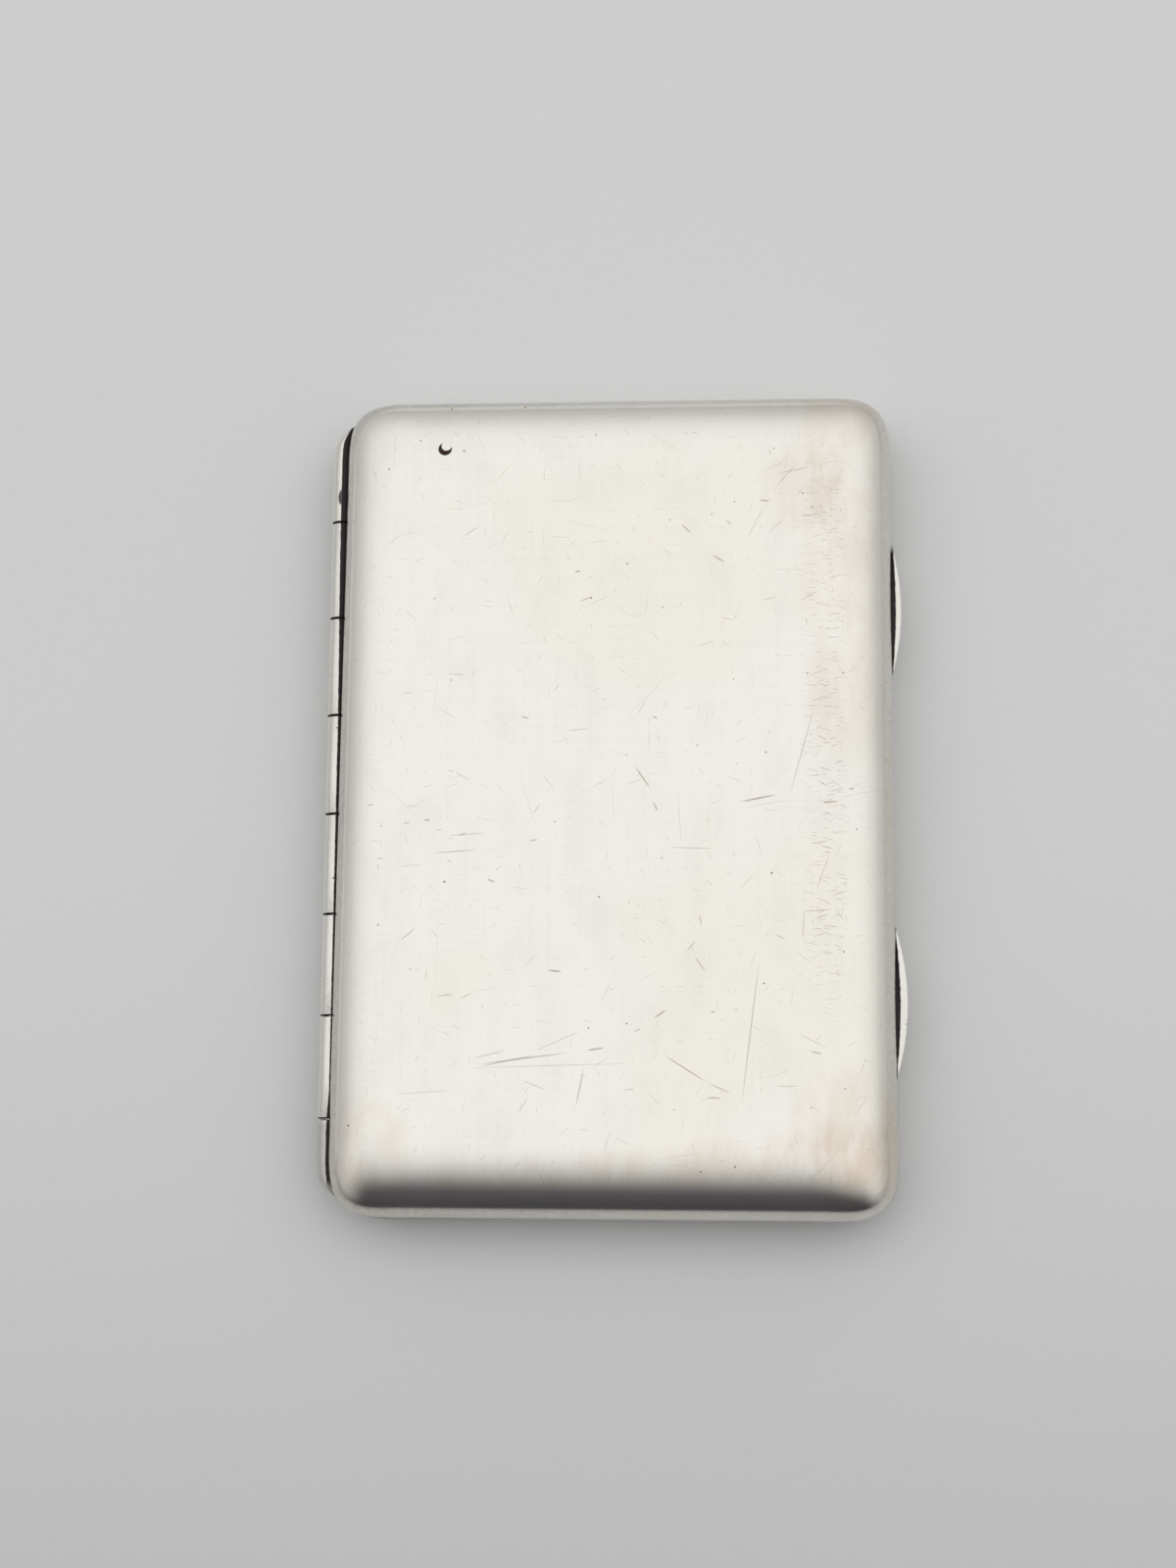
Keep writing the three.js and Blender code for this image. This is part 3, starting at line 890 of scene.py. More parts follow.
# Scratches on the lid's face, read in enlarged pieces of the picture. Each piece has its
# corner in the picture and its enlargement, and each scratch its two ends and a depth from 0 to 1
SCRATCH_READINGS = [
    ((360, 520), 6.03, [
        (685, 165, 770, 105, 0.6), (1390, 568, 1480, 532, 0.7), (1366, 388, 1402, 374, 0.9),
        (580, 1012, 700, 1016, 0.5), (300, 1133, 378, 1124, 0.4), (1033, 1270, 1087, 1287, 0.8),
        (1310, 1362, 1450, 1347, 0.4), (1230, 1125, 1275, 1070, 0.4),
    ]),
    ((620, 700), 6.03, [
        (165, 490, 265, 632, 0.8), (280, 710, 310, 775, 0.8), (815, 713, 1040, 668, 1.0),
        (1315, 717, 1425, 708, 0.9), (1280, 100, 1115, 690, 0.5), (860, 745, 1120, 700, 0.3),
        (375, 993, 665, 1000, 0.5), (430, 640, 455, 985, 0.25), (1240, 972, 1370, 950, 0.5),
        (1310, 980, 1385, 1002, 0.6), (1280, 1270, 1365, 1030, 0.45), (1185, 1390, 1390, 1372, 0.5),
        (1208, 1380, 1200, 1568, 0.45), (1400, 1372, 1460, 1445, 0.4), (275, 185, 307, 199, 0.8),
        (1485, 630, 1520, 626, 0.9), (570, 1410, 575, 1480, 0.6), (1040, 1530, 1095, 1562, 0.6),
    ]),
    ((400, 960), 6.03, [
        (955, 180, 1045, 190, 1.0), (205, 250, 215, 160, 0.4), (265, 343, 385, 327, 0.5),
        (415, 357, 490, 322, 0.5), (510, 762, 1110, 685, 0.7), (530, 775, 900, 700, 0.6),
        (490, 725, 705, 672, 0.5), (440, 783, 1540, 752, 0.35), (850, 690, 1165, 552, 0.4),
        (1195, 675, 1310, 657, 0.9), (1130, 1025, 1180, 780, 0.7), (0, 945, 380, 920, 0.4),
        (800, 858, 955, 920, 0.5), (770, 1070, 845, 945, 0.4), (1490, 560, 1530, 540, 0.6),
        (1415, 920, 1495, 912, 0.5),
    ]),
    ((660, 960), 6.03, [
        (695, 90, 580, 1040, 0.6), (100, 700, 375, 875, 0.75), (375, 875, 520, 940, 0.6),
        (45, 475, 120, 425, 0.9), (290, 90, 365, 195, 0.6), (245, 65, 300, 0, 0.6),
        (370, 965, 460, 968, 0.8), (795, 895, 930, 895, 0.45), (1005, 680, 1080, 697, 0.8),
        (930, 570, 1120, 665, 0.4), (390, 440, 425, 437, 0.8),
    ]),
    ((640, 440), 4.5, [
        (685, 195, 850, 162, 0.5), (790, 135, 670, 270, 0.4), (635, 330, 548, 500, 0.35),
        (603, 316, 655, 320, 0.9), (388, 568, 452, 603, 0.8), (250, 428, 294, 470, 0.8),
        (160, 537, 215, 570, 0.35), (610, 777, 690, 760, 0.4), (790, 780, 882, 730, 0.4),
        (640, 480, 730, 385, 0.25), (453, 410, 480, 428, 0.7), (650, 78, 660, 110, 0.4),
        (425, 855, 505, 866, 0.35), (668, 635, 840, 636, 0.25), (790, 390, 895, 378, 0.4),
        (770, 305, 815, 250, 0.35), (820, 855, 826, 885, 0.5), (488, 320, 496, 326, 1.0),
        (844, 342, 852, 350, 1.0), (191, 404, 198, 412, 0.9), (382, 380, 394, 384, 0.8),
    ]),
    ((360, 760), 4.5, [
        (435, 120, 467, 122, 0.5), (465, 122, 540, 165, 0.4), (325, 345, 358, 346, 0.9),
        (230, 362, 265, 356, 0.6), (380, 393, 412, 390, 0.4), (432, 418, 605, 405, 0.5),
        (490, 418, 520, 402, 0.6), (360, 497, 577, 482, 0.6), (830, 318, 860, 268, 0.5),
        (810, 442, 850, 434, 0.7), (615, 615, 655, 632, 0.8), (650, 580, 682, 557, 0.4),
        (430, 525, 455, 540, 0.5), (218, 900, 290, 838, 0.6), (360, 845, 395, 895, 0.35),
        (105, 522, 142, 520, 0.5), (112, 540, 116, 575, 0.4), (215, 560, 315, 548, 0.35),
        (65, 272, 90, 272, 0.7), (240, 292, 310, 275, 0.3),
    ]),
]
# Stains on the lid's face: a place and a size in millimetres and a share
STAIN_PLACES = [(24.0, -35.0, 8.5, 0.42), (20.5, 31.5, 6.0, 0.3), (-25.0, -36.0, 6.5, 0.4)]
# Nick in the far hinge end: a place, a half width and a half length in millimetres
HINGE_NICK = (-28.9, 32.5, 0.42, 0.95)
# Places of the crescent nick and the dot on the lid's face, in metres
NICK_PLACE = (-17.5 * MM, 36.4 * MM)
DOT_PLACE = (-15.5 * MM, 36.1 * MM)


def on_lid(stage, across, down):
    """Where the camera sees a place of the picture on the lid's face, in millimetres."""
    focal = stage.lens / SENSOR_HEIGHT * PICTURE_HIGH
    sight = Vector(((across - PICTURE_WIDE / 2) / focal, (PICTURE_HIGH / 2 - down) / focal, -1))
    sight.rotate(Euler(stage.camera_turn))
    start = Vector(stage.camera_place)
    hit = start + sight * ((LID_HIGH.z - start.z) / sight.z)
    return hit.x / MM, hit.y / MM


def face_scratches(stage):
    """Both ends, in millimetres, and the depth of each scratch that was read."""
    scratches = []
    for (left, top), enlargement, marks in SCRATCH_READINGS:
        for first_x, first_y, last_x, last_y, depth in marks:
            first = on_lid(stage, left + first_x / enlargement, top + first_y / enlargement)
            last = on_lid(stage, left + last_x / enlargement, top + last_y / enlargement)
            scratches.append((first, last, depth))
    return scratches


# Operators

class CASE_OT_shells(Operator):
    """Models the lid and the base as two rolled-edge trays with grooves for the hinge."""

    bl_idname = "case.shells"
    bl_label = "Lid and base"

    def execute(self, context):
        sizes, colours = context.scene.case_sizes, context.scene.case_colours
        lining = gold_wash(colours, "Gold wash")
        scratches = face_scratches(context.scene.case_stage)
        lid_silver = worn_silver(
            colours, "Lid silver", shift=(0, 0, 0), seam_film_and_shade=0.4, crevice_residue_and_shade=lid_residue_and_shade, lines=scratches)
        base_silver = worn_silver(
            colours, "Base silver", shift=(57, 31, 0), seam_film_and_shade=0.4, crevice_residue_and_shade=base_residue_and_shade)
        lid = self.tray(sizes, "Lid", False)
        pick(lid)
        bpy.ops.object.mode_set(mode="EDIT")
        bpy.ops.mesh.select_all(action="SELECT")
        rotate(sizes.lid_skew, "Z", (0, 0, 0))
        close(lid)
        self.nick(sizes, lid)
        base = self.tray(sizes, "Base", True)
        for piece, own, silver in ((lid, LID_KNUCKLES, lid_silver), (base, BASE_TUBES, base_silver)):
            piece.data.materials.append(silver)
            piece.data.materials.append(lining)
            cut_away(piece, groove_rod(sizes, own))
        finished(lid, "lid", "silver", "upper_shell")
        finished(base, "base", "silver", "lower_shell")
        return {"FINISHED"}

    def tray(self, sizes, name, is_base):
        """One tray, drawn from the middle of its face over the edge, round the rim and back inside."""
        flat, plateau = 0.3 * MM, 1.6 * MM
        outer = edge_rings(sizes, 0)
        inner = edge_rings(sizes, sizes.gauge)[::-1]
        rim_height = sizes.thickness / 2 + sizes.seam_gap / 2
        ease = sizes.rim_round
        turn_in = ease * (1 - math.cos(math.pi / 4))
        outer_rim = (*outer[-1][:2], rim_height)
        inner_rim = (*inner[0][:2], rim_height)
        rings = [drawn_in(outer[0], plateau), drawn_in(outer[0], flat), *outer]
        for by, rise in ((0, ease), (turn_in, turn_in), (ease, 0)):
            rings.append(drawn_in(outer_rim, by, rise))
        for by, rise in ((-ease, 0), (-turn_in, turn_in), (0, ease)):
            rings.append(drawn_in(inner_rim, by, rise))
        rings += [*inner, drawn_in(inner[-1], flat), drawn_in(inner[-1], plateau)]
        if is_base:
            rings = [(*ring[:2], sizes.thickness - ring[2]) for ring in rings]
        piece = plan_outline(sizes, name)
        draw_rings(sizes, rings)
        close(piece)
        self.line_inside(sizes, piece)
        return piece

    def line_inside(self, sizes, piece):
        """Gives the faces that look into the tray the second material."""
        middle = Vector((0, 0, sizes.thickness / 2))
        rim = sizes.seam_gap / 2 + sizes.rim_round
        for face in piece.data.polygons:
            from_middle = face.center - middle
            at_rim = abs(from_middle.z) < rim and abs(face.normal.z) > 0.5
            if face.normal.dot(from_middle) < 0 and not at_rim:
                face.material_index = 1

    def nick(self, sizes, lid):
        """A small crescent nick and a dot, knocked into the face."""
        ring_radius, ring_wire, ring_lift = 0.52 * MM, 0.17 * MM, 0.13 * MM
        tilt_x, tilt_y = math.radians(12), math.radians(-5)
        dot_radius, dot_lift = 0.2 * MM, 0.1 * MM
        level = face_height(sizes, sizes.length / 2 - NICK_PLACE[1])
        ring = begin(
            "Nick", bpy.ops.mesh.primitive_torus_add, major_radius=ring_radius, minor_radius=ring_wire,
            major_segments=32, minor_segments=12, location=(*NICK_PLACE, level + ring_lift))
        rotate(tilt_x, "X", (*NICK_PLACE, level))
        rotate(tilt_y, "Y", (*NICK_PLACE, level))
        cut_away(lid, close(ring))
        level = face_height(sizes, sizes.length / 2 - DOT_PLACE[1])
        ball = begin(
            "Dot", bpy.ops.mesh.primitive_uv_sphere_add, radius=dot_radius, segments=16, ring_count=10,
            location=(*DOT_PLACE, level + dot_lift))
        cut_away(lid, close(ball))


class CASE_OT_hinge(Operator):
    """Models the six knuckles, the two hinge ends and the finish of the pin."""

    bl_idname = "case.hinge"
    bl_label = "Hinge"

    def execute(self, context):
        sizes, colours = context.scene.case_sizes, context.scene.case_colours
        silver = worn_silver(
            colours, "Hinge silver", shift=(19, 73, 0), seam_film_and_shade=0.15, crevice_residue_and_shade=hinge_residue_and_shade)
        first = self.knuckle(sizes, BASE_KNUCKLES[0])
        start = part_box(BASE_KNUCKLES[0])[0]
        for node in BASE_KNUCKLES + LID_KNUCKLES:
            piece = copy_of(first, piece_name(node), (0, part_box(node)[0].y - start.y, 0))
            body = "base" if node in BASE_KNUCKLES else "lid"
            finished(piece, body, "silver", node, silver)
        remove(first)
        for node in HINGE_ENDS:
            finished(self.hinge_end(sizes, node), "base", "silver", node, silver)
        dress("hinge_pin", drawn_wire(colours, "Drawn wire"))
        return {"FINISHED"}

    def knuckle(self, sizes, node):
        """A short tube: drawn along its outside, turned in at the end and back through its bore."""
        low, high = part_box(node)[0].y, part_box(node)[1].y
        radius, bore, ease = sizes.tube_radius, sizes.tube_bore, sizes.tube_round
        half = ease * (1 - math.cos(math.pi / 4))
        piece = rod("Knuckle", [
            (low, radius - ease), (low + half, radius - half), (low + ease, radius),
            (high - ease, radius), (high - half, radius - half), (high, radius - ease),
            (high, bore), (low, bore)])
        bridge(piece, 1, low)
        return close(piece)

    def hinge_end(self, sizes, node):
        """A tube end that tapers round the corner of the case."""
        low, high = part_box(node)
        side = 1 if high.y > 0 else -1
        inner, tip = (low.y, high.y) if side > 0 else (high.y, low.y)
        radius, ease = sizes.tube_radius, sizes.tube_round
        trim_width, trim_length = radius - HINGE.x, sizes.length / 2 - sizes.gauge
        reach_x = sizes.corner_reach * trim_width / (sizes.width / 2)
        reach_y = sizes.corner_reach * trim_length / (sizes.length / 2)
        power = sizes.corner_power
        rings = [(inner, 1 - ease / radius), (inner + side * ease, 1)]
        point, least = 2.1 * MM, 0.06
        straight = side * (trim_length - reach_y)
        for step in range(TAPER_STEPS + 1):
            place = straight + (tip - straight) * step / TAPER_STEPS
            along = min((abs(place) - abs(straight)) / reach_y, 1)
            outer = trim_width - reach_x * (1 - (1 - along ** power) ** (1 / power))
            share = min((outer + HINGE.x + radius) / (2 * radius), 1)
            past = max(1 - abs(tip - place) / point, 0)
            rings.append((place, max(share * math.sqrt(1 - past ** 2), least)))
        place, share = rings[0]
        half_width = half_height = radius * share
        centre = HINGE.x
        piece = disc(
            piece_name(node), ROUND_SIDES, half_width, (centre, place, HINGE.z), (math.pi / 2, 0, 0))
        for next_place, share in rings[1:]:
            wide = radius * share
            tall = math.sqrt(2 * radius * wide - wide * wide)
            next_centre = HINGE.x + radius - wide
            draw_out((next_centre - centre, next_place - place, 0))
            scale((wide / half_width, 1, tall / half_height), (next_centre, next_place, HINGE.z))
            place, centre, half_width, half_height = next_place, next_centre, wide, tall
        return close(piece)


class CASE_OT_thumb_pieces(Operator):
    """Models the two crescent thumb-pieces with the slot beside the lid."""

    bl_idname = "case.thumb_pieces"
    bl_label = "Thumb-pieces"

    def execute(self, context):
        sizes, colours = context.scene.case_sizes, context.scene.case_colours
        silver = worn_silver(
            colours, "Thumb-piece silver", shift=(91, 13, 0), seam_film_and_shade=0.15, crevice_residue_and_shade=thumb_residue_and_shade)
        low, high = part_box(THUMB_PIECES[0])
        first = self.crescent(sizes, low, high)
        for node in THUMB_PIECES:
            piece = copy_of(first, piece_name(node), (0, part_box(node)[0].y - low.y, 0))
            self.slot(sizes, piece, *slot_line(sizes, node))
            finished(piece, "base", "silver", node, silver)
        remove(first)
        return {"FINISHED"}

    def crescent(self, sizes, low, high):
        """A flared disc, cut off at the wall of the base."""
        middle = (low.y + high.y) / 2
        reach = high.x - sizes.width / 2
        radius = ((sizes.thumb_chord / 2) ** 2 + reach ** 2) / (2 * reach)
        place = (high.x - radius, middle)
        overlap, foot_pull = 0.3 * MM, 0.78 * MM
        flare = [(0.0, 0.20), (0.06, 0.06), (0.2, 0.0), (0.75, 0.02), (1.4, 0.16), (2.1, 0.42)]
        levels = [(high.z - drop * MM, radius - pull * MM) for drop, pull in flare]
        levels.append((low.z, radius - foot_pull))
        piece = disc("Thumb-piece", CRESCENT_SIDES, levels[0][1], (*place, high.z))
        draw_levels(place, levels)
        cut_off(sizes.width / 2 - overlap)
        return close(piece)

    def slot(self, sizes, piece, middle, chord):
        """A slot beside the lid, which widens to its middle and follows the lid where it sits askew."""
        wall = sizes.width / 2 - middle * math.tan(sizes.lid_skew)
        sunk, rise, rounding = 0.05 * MM, 4 * MM, 0.07 * MM
        foot = sizes.thickness / 2 - sizes.seam_gap / 2 - sunk
        sagitta = sizes.thumb_gap - sizes.thumb_end_gap
        bow = ((chord / 2) ** 2 + sagitta ** 2) / (2 * sagitta)
        slot = disc("Slot", SLOT_SIDES, bow, (wall + sizes.thumb_gap - bow, middle, foot))
        draw_out((0, 0, rise))
        cut_away(piece, close(slot))
        soften(piece, rounding)


class CASE_OT_inner_rim(Operator):
    """Models the closing bezel and the joint bearers, and finishes the snap wire."""

    bl_idname = "case.inner_rim"
    bl_label = "Inner rim"

    def execute(self, context):
        sizes, colours = context.scene.case_sizes, context.scene.case_colours
        gilt = gold_wash(colours, "Gold wash, inner rim")
        finished(self.bezel(sizes), "base", "gilt", "closing_bezel", gilt)
        for node, own, body in (
            ("lower_joint_bearer", BASE_TUBES, "base"), ("upper_joint_bearer", LID_KNUCKLES, "lid")):
            finished(self.bearer(sizes, node, own), body, "gilt", node, gilt)
        dress("snap_wire", gilt)
        return {"FINISHED"}

    def bezel(self, sizes):
        """A thin upright rim on three sides, drawn up, over its rounded lip and down again."""
        low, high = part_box("closing_bezel")
        lift, lip_share = 0.2 * MM, 0.3
        foot = low.z + lift
        lip = sizes.bezel_gauge * lip_share
        outer = tuple(high)
        inner = drawn_in(outer, sizes.bezel_gauge)
        rings = [(*outer[:2], foot)]
        up = [math.pi / 2 * step / LIP_STEPS for step in range(LIP_STEPS + 1)]
        for ring, turn_in, drop, turns in ((outer, lip, 2 * lip, up), (inner, -lip, lip, up[::-1])):
            for turn in turns:
                rings.append(drawn_in(ring, turn_in * (1 - math.cos(turn)), drop * (math.sin(turn) - 1)))
        rings.append((*inner[:2], foot))
        piece = plan_outline(sizes, "Closing_bezel")
        draw_rings(sizes, rings)
        bridge(piece, 2, foot)
        cut_off(low.x)
        return close(piece)

    def bearer(self, sizes, node, own):
        """A strip with softened edges, hollowed on the side of the hinge tubes."""
        low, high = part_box(node)
        edge = 0.12 * MM
        piece = begin(
            piece_name(node), bpy.ops.mesh.primitive_cube_add, size=1, location=(low + high) / 2,
            scale=high - low)
        bpy.ops.mesh.bevel(offset=edge, segments=3, affect="EDGES")
        close(piece)
        cut_away(piece, groove_rod(sizes, own))
        return piece


class CASE_OT_strap(Operator):
    """Models the elastic strap, its stitching and its two wire keepers."""

    bl_idname = "case.strap"
    bl_label = "Retaining strap"

    def execute(self, context):
        sizes, colours = context.scene.case_sizes, context.scene.case_colours
        gilt = gold_wash(colours, "Gold wash, keepers")
        keepers = [finished(self.keeper(sizes, node), "base", "gilt", node, gilt) for node in KEEPERS]
        strap, sewn, length = self.strap(sizes)
        finished(strap, "base", "elastic", "retaining_strap", elastic_web(colours, "Elastic web"))
        finished(sewn, "base", "elastic", None, sewing_thread(colours, "Sewing thread"))
        return {"FINISHED"}

    def keeper(self, sizes, node):
        """A wire staple with spread feet, drawn up, over the strap and down again."""
        low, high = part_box(node)
        radius = sizes.wire_radius
        bend = 2 * radius
        middle = (low.x + high.x) / 2
        near, far = low.y + radius, high.y - radius
        top = high.z - radius
        spread = [(0.0, 1.75), (0.06, 1.6), (0.16, 1.25), (0.28, 1.05), (0.4, 1.0)]
        levels = [(low.z + rise * MM, share) for rise, share in spread]
        piece = disc(piece_name(node), WIRE_SIDES, levels[0][1] * radius, (middle, near, low.z))
        draw_levels((middle, near), levels)
        height = levels[-1][0]
        quarter = math.pi / 2
        points = [Vector((middle, near, height)), Vector((middle, near, top - bend))]
        points += arc(
            (middle, near + bend, top - bend), bend, 2 * quarter, quarter, BEND_STEPS, "yz")
        points.append(Vector((middle, far - bend, top)))
        points += arc((middle, far - bend, top - bend), bend, quarter, 0, BEND_STEPS, "yz")
        points.append(Vector((middle, far, height)))
        sweep(points, "X")
        draw_levels((middle, far), levels[::-1])
        return close(piece)

    def strap(self, sizes):
        """A ribbed band that passes round both keepers and is sewn back on itself."""
        low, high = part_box("retaining_strap")
        gauge, width = sizes.strap_gauge, STRAP_WIDTH
        side_gap, fold_gap = 0.02 * MM, 0.04 * MM
        end_reach, start_reach = 7.6 * MM, 2.3 * MM
        ribs = 16
        bar = (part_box(KEEPERS[0])[0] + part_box(KEEPERS[0])[1]) / 2
        bar_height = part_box(KEEPERS[0])[1].z - sizes.wire_radius
        turn_radius = (high.x - low.x) / 2 - abs(bar.x) - gauge / 2 - side_gap
        level = bar_height - turn_radius
        fold = level + gauge + fold_gap
        sewn_end, sewn_start = abs(bar.x) - end_reach, abs(bar.x) - start_reach
        centre = Vector((bar.x, 0, bar_height))
        leave = Vector((-sewn_start, 0, fold))
        gap = leave - centre
        tilt = math.asin(turn_radius / gap.length) + math.atan2(gap.z, gap.x)
        meet = math.pi / 2 - tilt
        left = [Vector((-sewn_end, 0, fold)), Vector((-0.5 * (sewn_end + sewn_start), 0, fold)), leave]
        left.append(centre + turn_radius * Vector((math.cos(meet), 0, math.sin(meet))))
        left += arc(centre, turn_radius, meet, 1.5 * math.pi, 3 * BEND_STEPS, "xz")
        right = [Vector((-point.x, 0, point.z)) for point in reversed(left)]
        points = left + [Vector((0, 0, level))] + right
        length = sum((b - a).length for a, b in zip(points, points[1:]))
        piece = begin(
            "Retaining_strap", bpy.ops.mesh.primitive_plane_add, size=width, location=points[0],
            rotation=(0, -math.pi / 2, 0))
        scale((1, 1, gauge / width), points[0])
        choose(piece, "EDGE", lambda middle, way: abs(way.y) > width / 2)
        bpy.ops.mesh.subdivide(number_cuts=2 * ribs - 1)
        self.raise_ribs(piece, points[0], width / ribs)
        bpy.ops.mesh.select_mode(type="FACE")
        bpy.ops.mesh.select_all(action="SELECT")
        sweep(points, "Y")
        close(piece)
        return piece, self.stitches(fold + gauge / 2, (sewn_end, sewn_start)), length

    def raise_ribs(self, piece, start, pitch):
        """Sinks every other division of the band's end outline, which leaves ribs along it."""
        depth = 0.05 * MM
        bpy.ops.mesh.select_mode(type="VERT")
        for upper in (True, False):
            bpy.ops.mesh.select_all(action="DESELECT")
            form = bmesh.from_edit_mesh(piece.data)
            for corner in form.verts:
                place = corner.co - start
                on_rib = abs(math.remainder(place.y - pitch / 2, pitch)) < pitch / 8
                if (place.z > 0) == upper and not on_rib:
                    corner.select_set(True)
            bmesh.update_edit_mesh(piece.data)
            bpy.ops.transform.translate(value=(0, 0, -depth if upper else depth))

    def stitches(self, level, sewn):
        """Rows of sewn stitches, each an arch of thread, modelled once and copied."""
        thread = 0.09 * MM
        long, rise = 0.42 * MM, 0.07 * MM
        margin, per_row = 0.6 * MM, 9
        from_end, from_start = 0.9 * MM, 1.2 * MM
        arch = [(0.0, 0.0), (0.04, 0.55), (0.2, 0.95), (0.5, 1.1), (0.8, 0.95), (0.96, 0.55), (1.0, 0.0)]
        row_places = [sewn[0] + from_end, sewn[1] - from_start]
        pitch = (STRAP_WIDTH - 2 * margin) / per_row
        first_y = -STRAP_WIDTH / 2 + margin + pitch / 2
        start = Vector((row_places[0], first_y - long / 2, level - thread))
        piece = disc("Stitch", THREAD_SIDES, thread, start)
        sweep([start + Vector((0, long * share, (rise + thread) * lift)) for share, lift in arch], "X")
        close(piece)
        row = [piece]
        for side in (1, -1):
            for place in row_places:
                for number in range(per_row):
                    shift = (side * place - row_places[0], pitch * number, 0)
                    if any(abs(value) > MERGE for value in shift):
                        row.append(copy_of(piece, "Stitch", shift))
        clear_selection()
        for stitch in row:
            stitch.select_set(True)
        bpy.context.view_layer.objects.active = piece
        bpy.ops.object.join()
        piece.name = "Strap_stitching"
        piece.data.name = "Strap_stitching"
        return piece


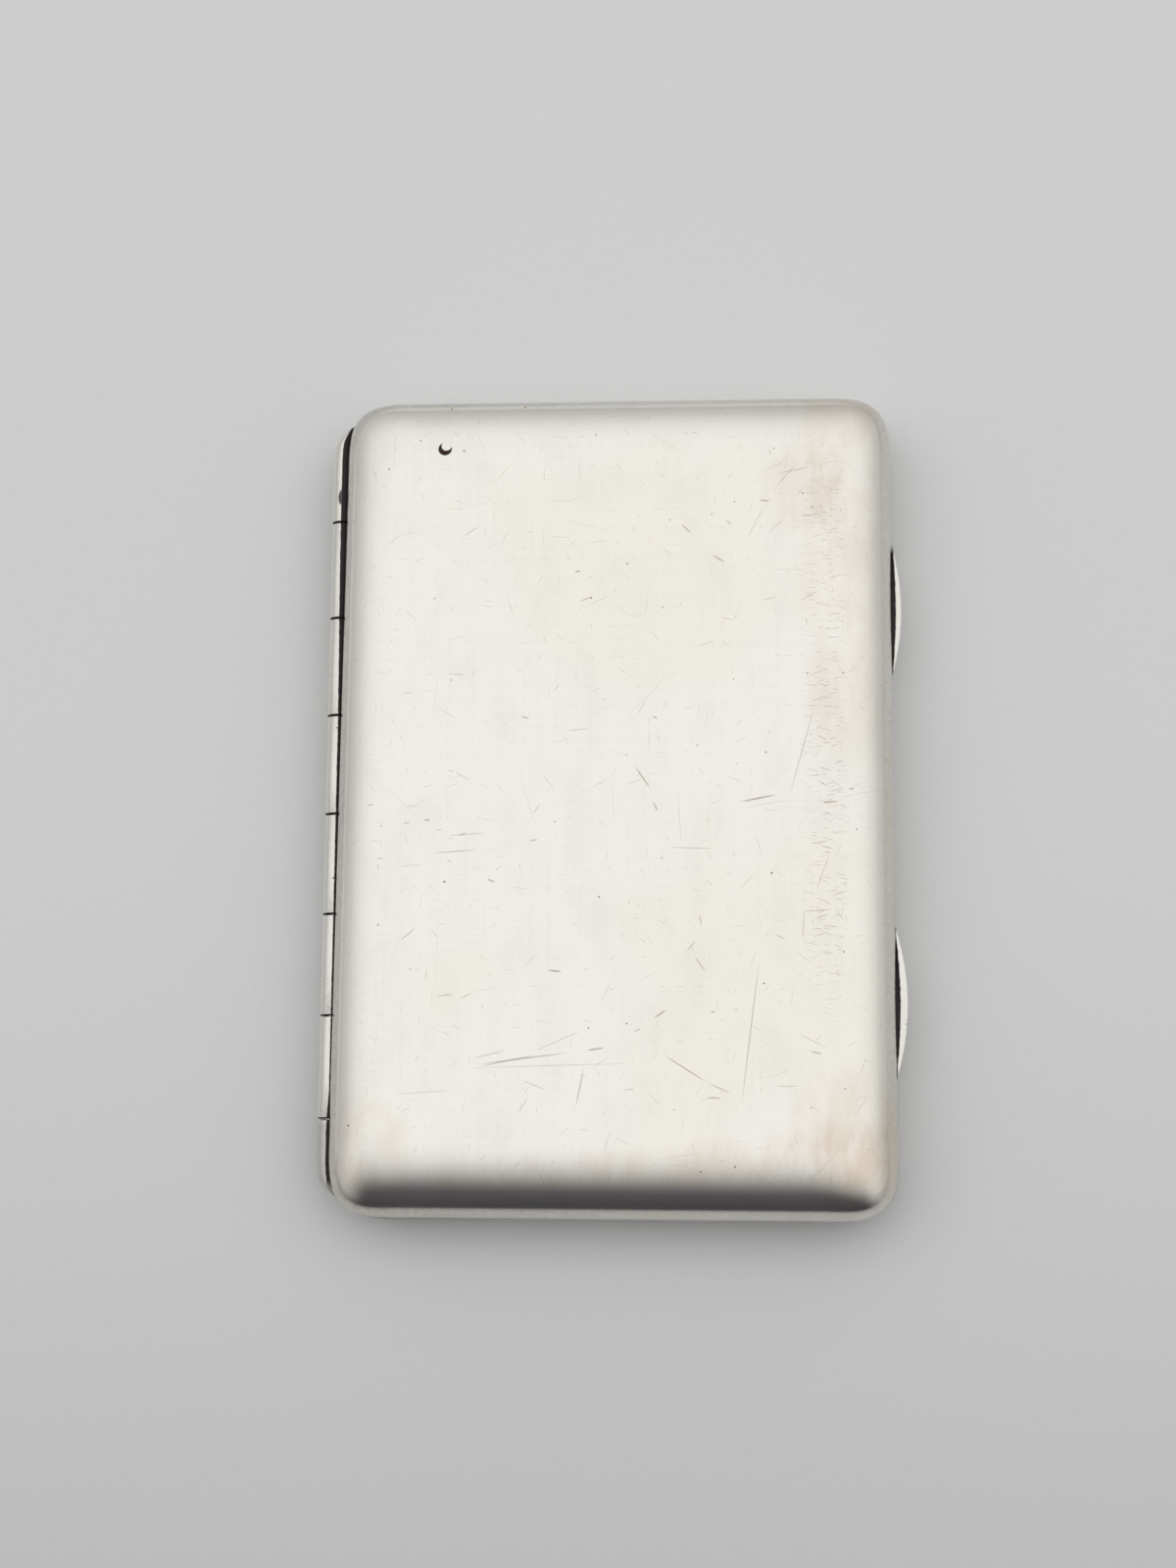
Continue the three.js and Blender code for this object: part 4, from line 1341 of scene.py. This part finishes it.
class CASE_OT_stage(Operator):
    """Sets up the pale floor, the soft room light and the camera."""

    bl_idname = "case.stage"
    bl_label = "Stage"

    def execute(self, context):
        stage, colours = context.scene.case_stage, context.scene.case_colours
        context.scene.view_settings.view_transform = "Standard"
        self.floor(colours)
        self.room(context.scene, stage)
        self.lamp(stage)
        self.camera(context.scene, stage)
        return {"FINISHED"}

    def floor(self, colours):
        """A wide sheet of pale paper just under the case, with painted shade that darkens it towards the
        viewer.
        """
        side, drop = 6.0, 0.05 * MM
        floor = begin("Floor", bpy.ops.mesh.primitive_plane_add, size=side, location=(0, 0, -drop))
        bpy.ops.mesh.subdivide(number_cuts=4)
        close(floor)
        paper = Finish("Pale paper", 0.0)
        # Painted shade: the paper darkens towards the viewer's side.
        far = paper.ramp(paper.y, -150.0, 10.0)
        tone = paper.blend(far, colours.floor_near, colours.floor)
        fibre = paper.noise(paper.place, 0.8, 4.0, 0.6)
        tone = paper.blend(paper.ramp(fibre, 0.55, 0.8) * 0.05, tone, colours.tarnish)
        paper.feed("Base Color", tone)
        paper.feed("Roughness", 0.85 + 0.1 * fibre)
        paper.shader.inputs["Specular IOR Level"].default_value = 0.2
        paper.emboss(fibre, 0.02 * MM)
        floor.data.materials.append(paper.material)

    def room(self, scene, stage):
        """Soft light from above, grey at the sides and dark low down on the viewer's side."""
        world = bpy.data.worlds.new("Room light")
        scene.world = world
        world.use_nodes = True
        world.node_tree.nodes.clear()
        room = Graph(world.node_tree)
        way = room.out(room.node("ShaderNodeTexCoord"), "Generated")
        x, y, z = room.parts(way)
        lean = 0.25
        sides = room.ramp(z, 0.2, 0.92, stage.horizon, stage.zenith) * room.ramp(z, -0.05, 0.25, 0.82)
        near = room.ramp(y + x * lean, -0.795, -0.035, stage.near_side, 1.0)
        light = sides * (near + (1 - near) * room.ramp(abs(x), 0.42, 0.9, 0.0, 0.8))
        tint = room.blend(room.ramp(light, 0.08, 0.2), stage.near_tint, (1, 1, 1))
        glow = room.node("ShaderNodeBackground", None, {"Color": tint, "Strength": light})
        plain = (stage.backdrop, stage.backdrop, stage.backdrop, 1)
        backdrop = room.node("ShaderNodeBackground", None, {"Color": plain, "Strength": 1.0})
        seen = room.out(room.node("ShaderNodeLightPath"), "Is Camera Ray")
        mixed = room.node("ShaderNodeMixShader", None, {
            "Fac": seen, 1: room.out(glow), 2: room.out(backdrop)})
        room.node("ShaderNodeOutputWorld", None, {"Surface": room.out(mixed)})

    def lamp(self, stage):
        """A wide soft lamp above the far side, which the metal doesn't mirror."""
        place, wide, deep = (0, 0.16, 0.6), 1.5, 0.45
        clear_selection()
        bpy.ops.object.light_add(type="AREA", location=place)
        lamp = bpy.context.object
        lamp.name = "Soft lamp"
        lamp.rotation_euler = (-Vector(place)).to_track_quat("-Z", "Y").to_euler()
        lamp.data.shape = "RECTANGLE"
        lamp.data.size = wide
        lamp.data.size_y = deep
        lamp.data.energy = stage.lamp
        lamp.visible_glossy = False

    def camera(self, scene, stage):
        """The camera of the view from above."""
        clear_selection()
        bpy.ops.object.camera_add(location=stage.camera_place, rotation=stage.camera_turn)
        camera = bpy.context.object
        camera.name = "Camera"
        camera.data.sensor_fit = "VERTICAL"
        camera.data.sensor_height = SENSOR_HEIGHT
        camera.data.lens = stage.lens
        camera.data.clip_start = 0.005
        scene.camera = camera


class CASE_PT_panel(Panel):
    """Lists the pieces of the case."""

    bl_idname = "CASE_PT_panel"
    bl_label = "Pocket case"
    bl_space_type = "VIEW_3D"
    bl_region_type = "UI"
    bl_category = "Case"

    def draw(self, context):
        for operator in OPERATORS:
            self.layout.operator(operator.bl_idname)
        for name in GROUPS:
            group = getattr(context.scene, name)
            for entry in group.bl_rna.properties:
                if entry.identifier in group.__annotations__:
                    self.layout.prop(group, entry.identifier)


GROUPS = {"case_sizes": CaseSizes, "case_colours": CaseColours, "case_stage": CaseStage}
OPERATORS = [
    CASE_OT_stage, CASE_OT_shells, CASE_OT_hinge, CASE_OT_thumb_pieces, CASE_OT_inner_rim,
    CASE_OT_strap,
]


def register():
    """Registers the properties, the operators and the panel."""
    for group in GROUPS.values():
        bpy.utils.register_class(group)
    for operator in OPERATORS:
        bpy.utils.register_class(operator)
    bpy.utils.register_class(CASE_PT_panel)
    for name, group in GROUPS.items():
        setattr(bpy.types.Scene, name, PointerProperty(type=group))


def unregister():
    """Takes back what register adds."""
    for name in GROUPS:
        delattr(bpy.types.Scene, name)
    bpy.utils.unregister_class(CASE_PT_panel)
    for operator in reversed(OPERATORS):
        bpy.utils.unregister_class(operator)
    for group in reversed(GROUPS.values()):
        bpy.utils.unregister_class(group)


def main():
    """Builds the stage and every piece."""
    register()
    bpy.ops.case.stage()
    bpy.ops.case.shells()
    bpy.ops.case.hinge()
    bpy.ops.case.thumb_pieces()
    bpy.ops.case.inner_rim()
    bpy.ops.case.strap()
    clear_selection()


if __name__ == "__main__":
    main()
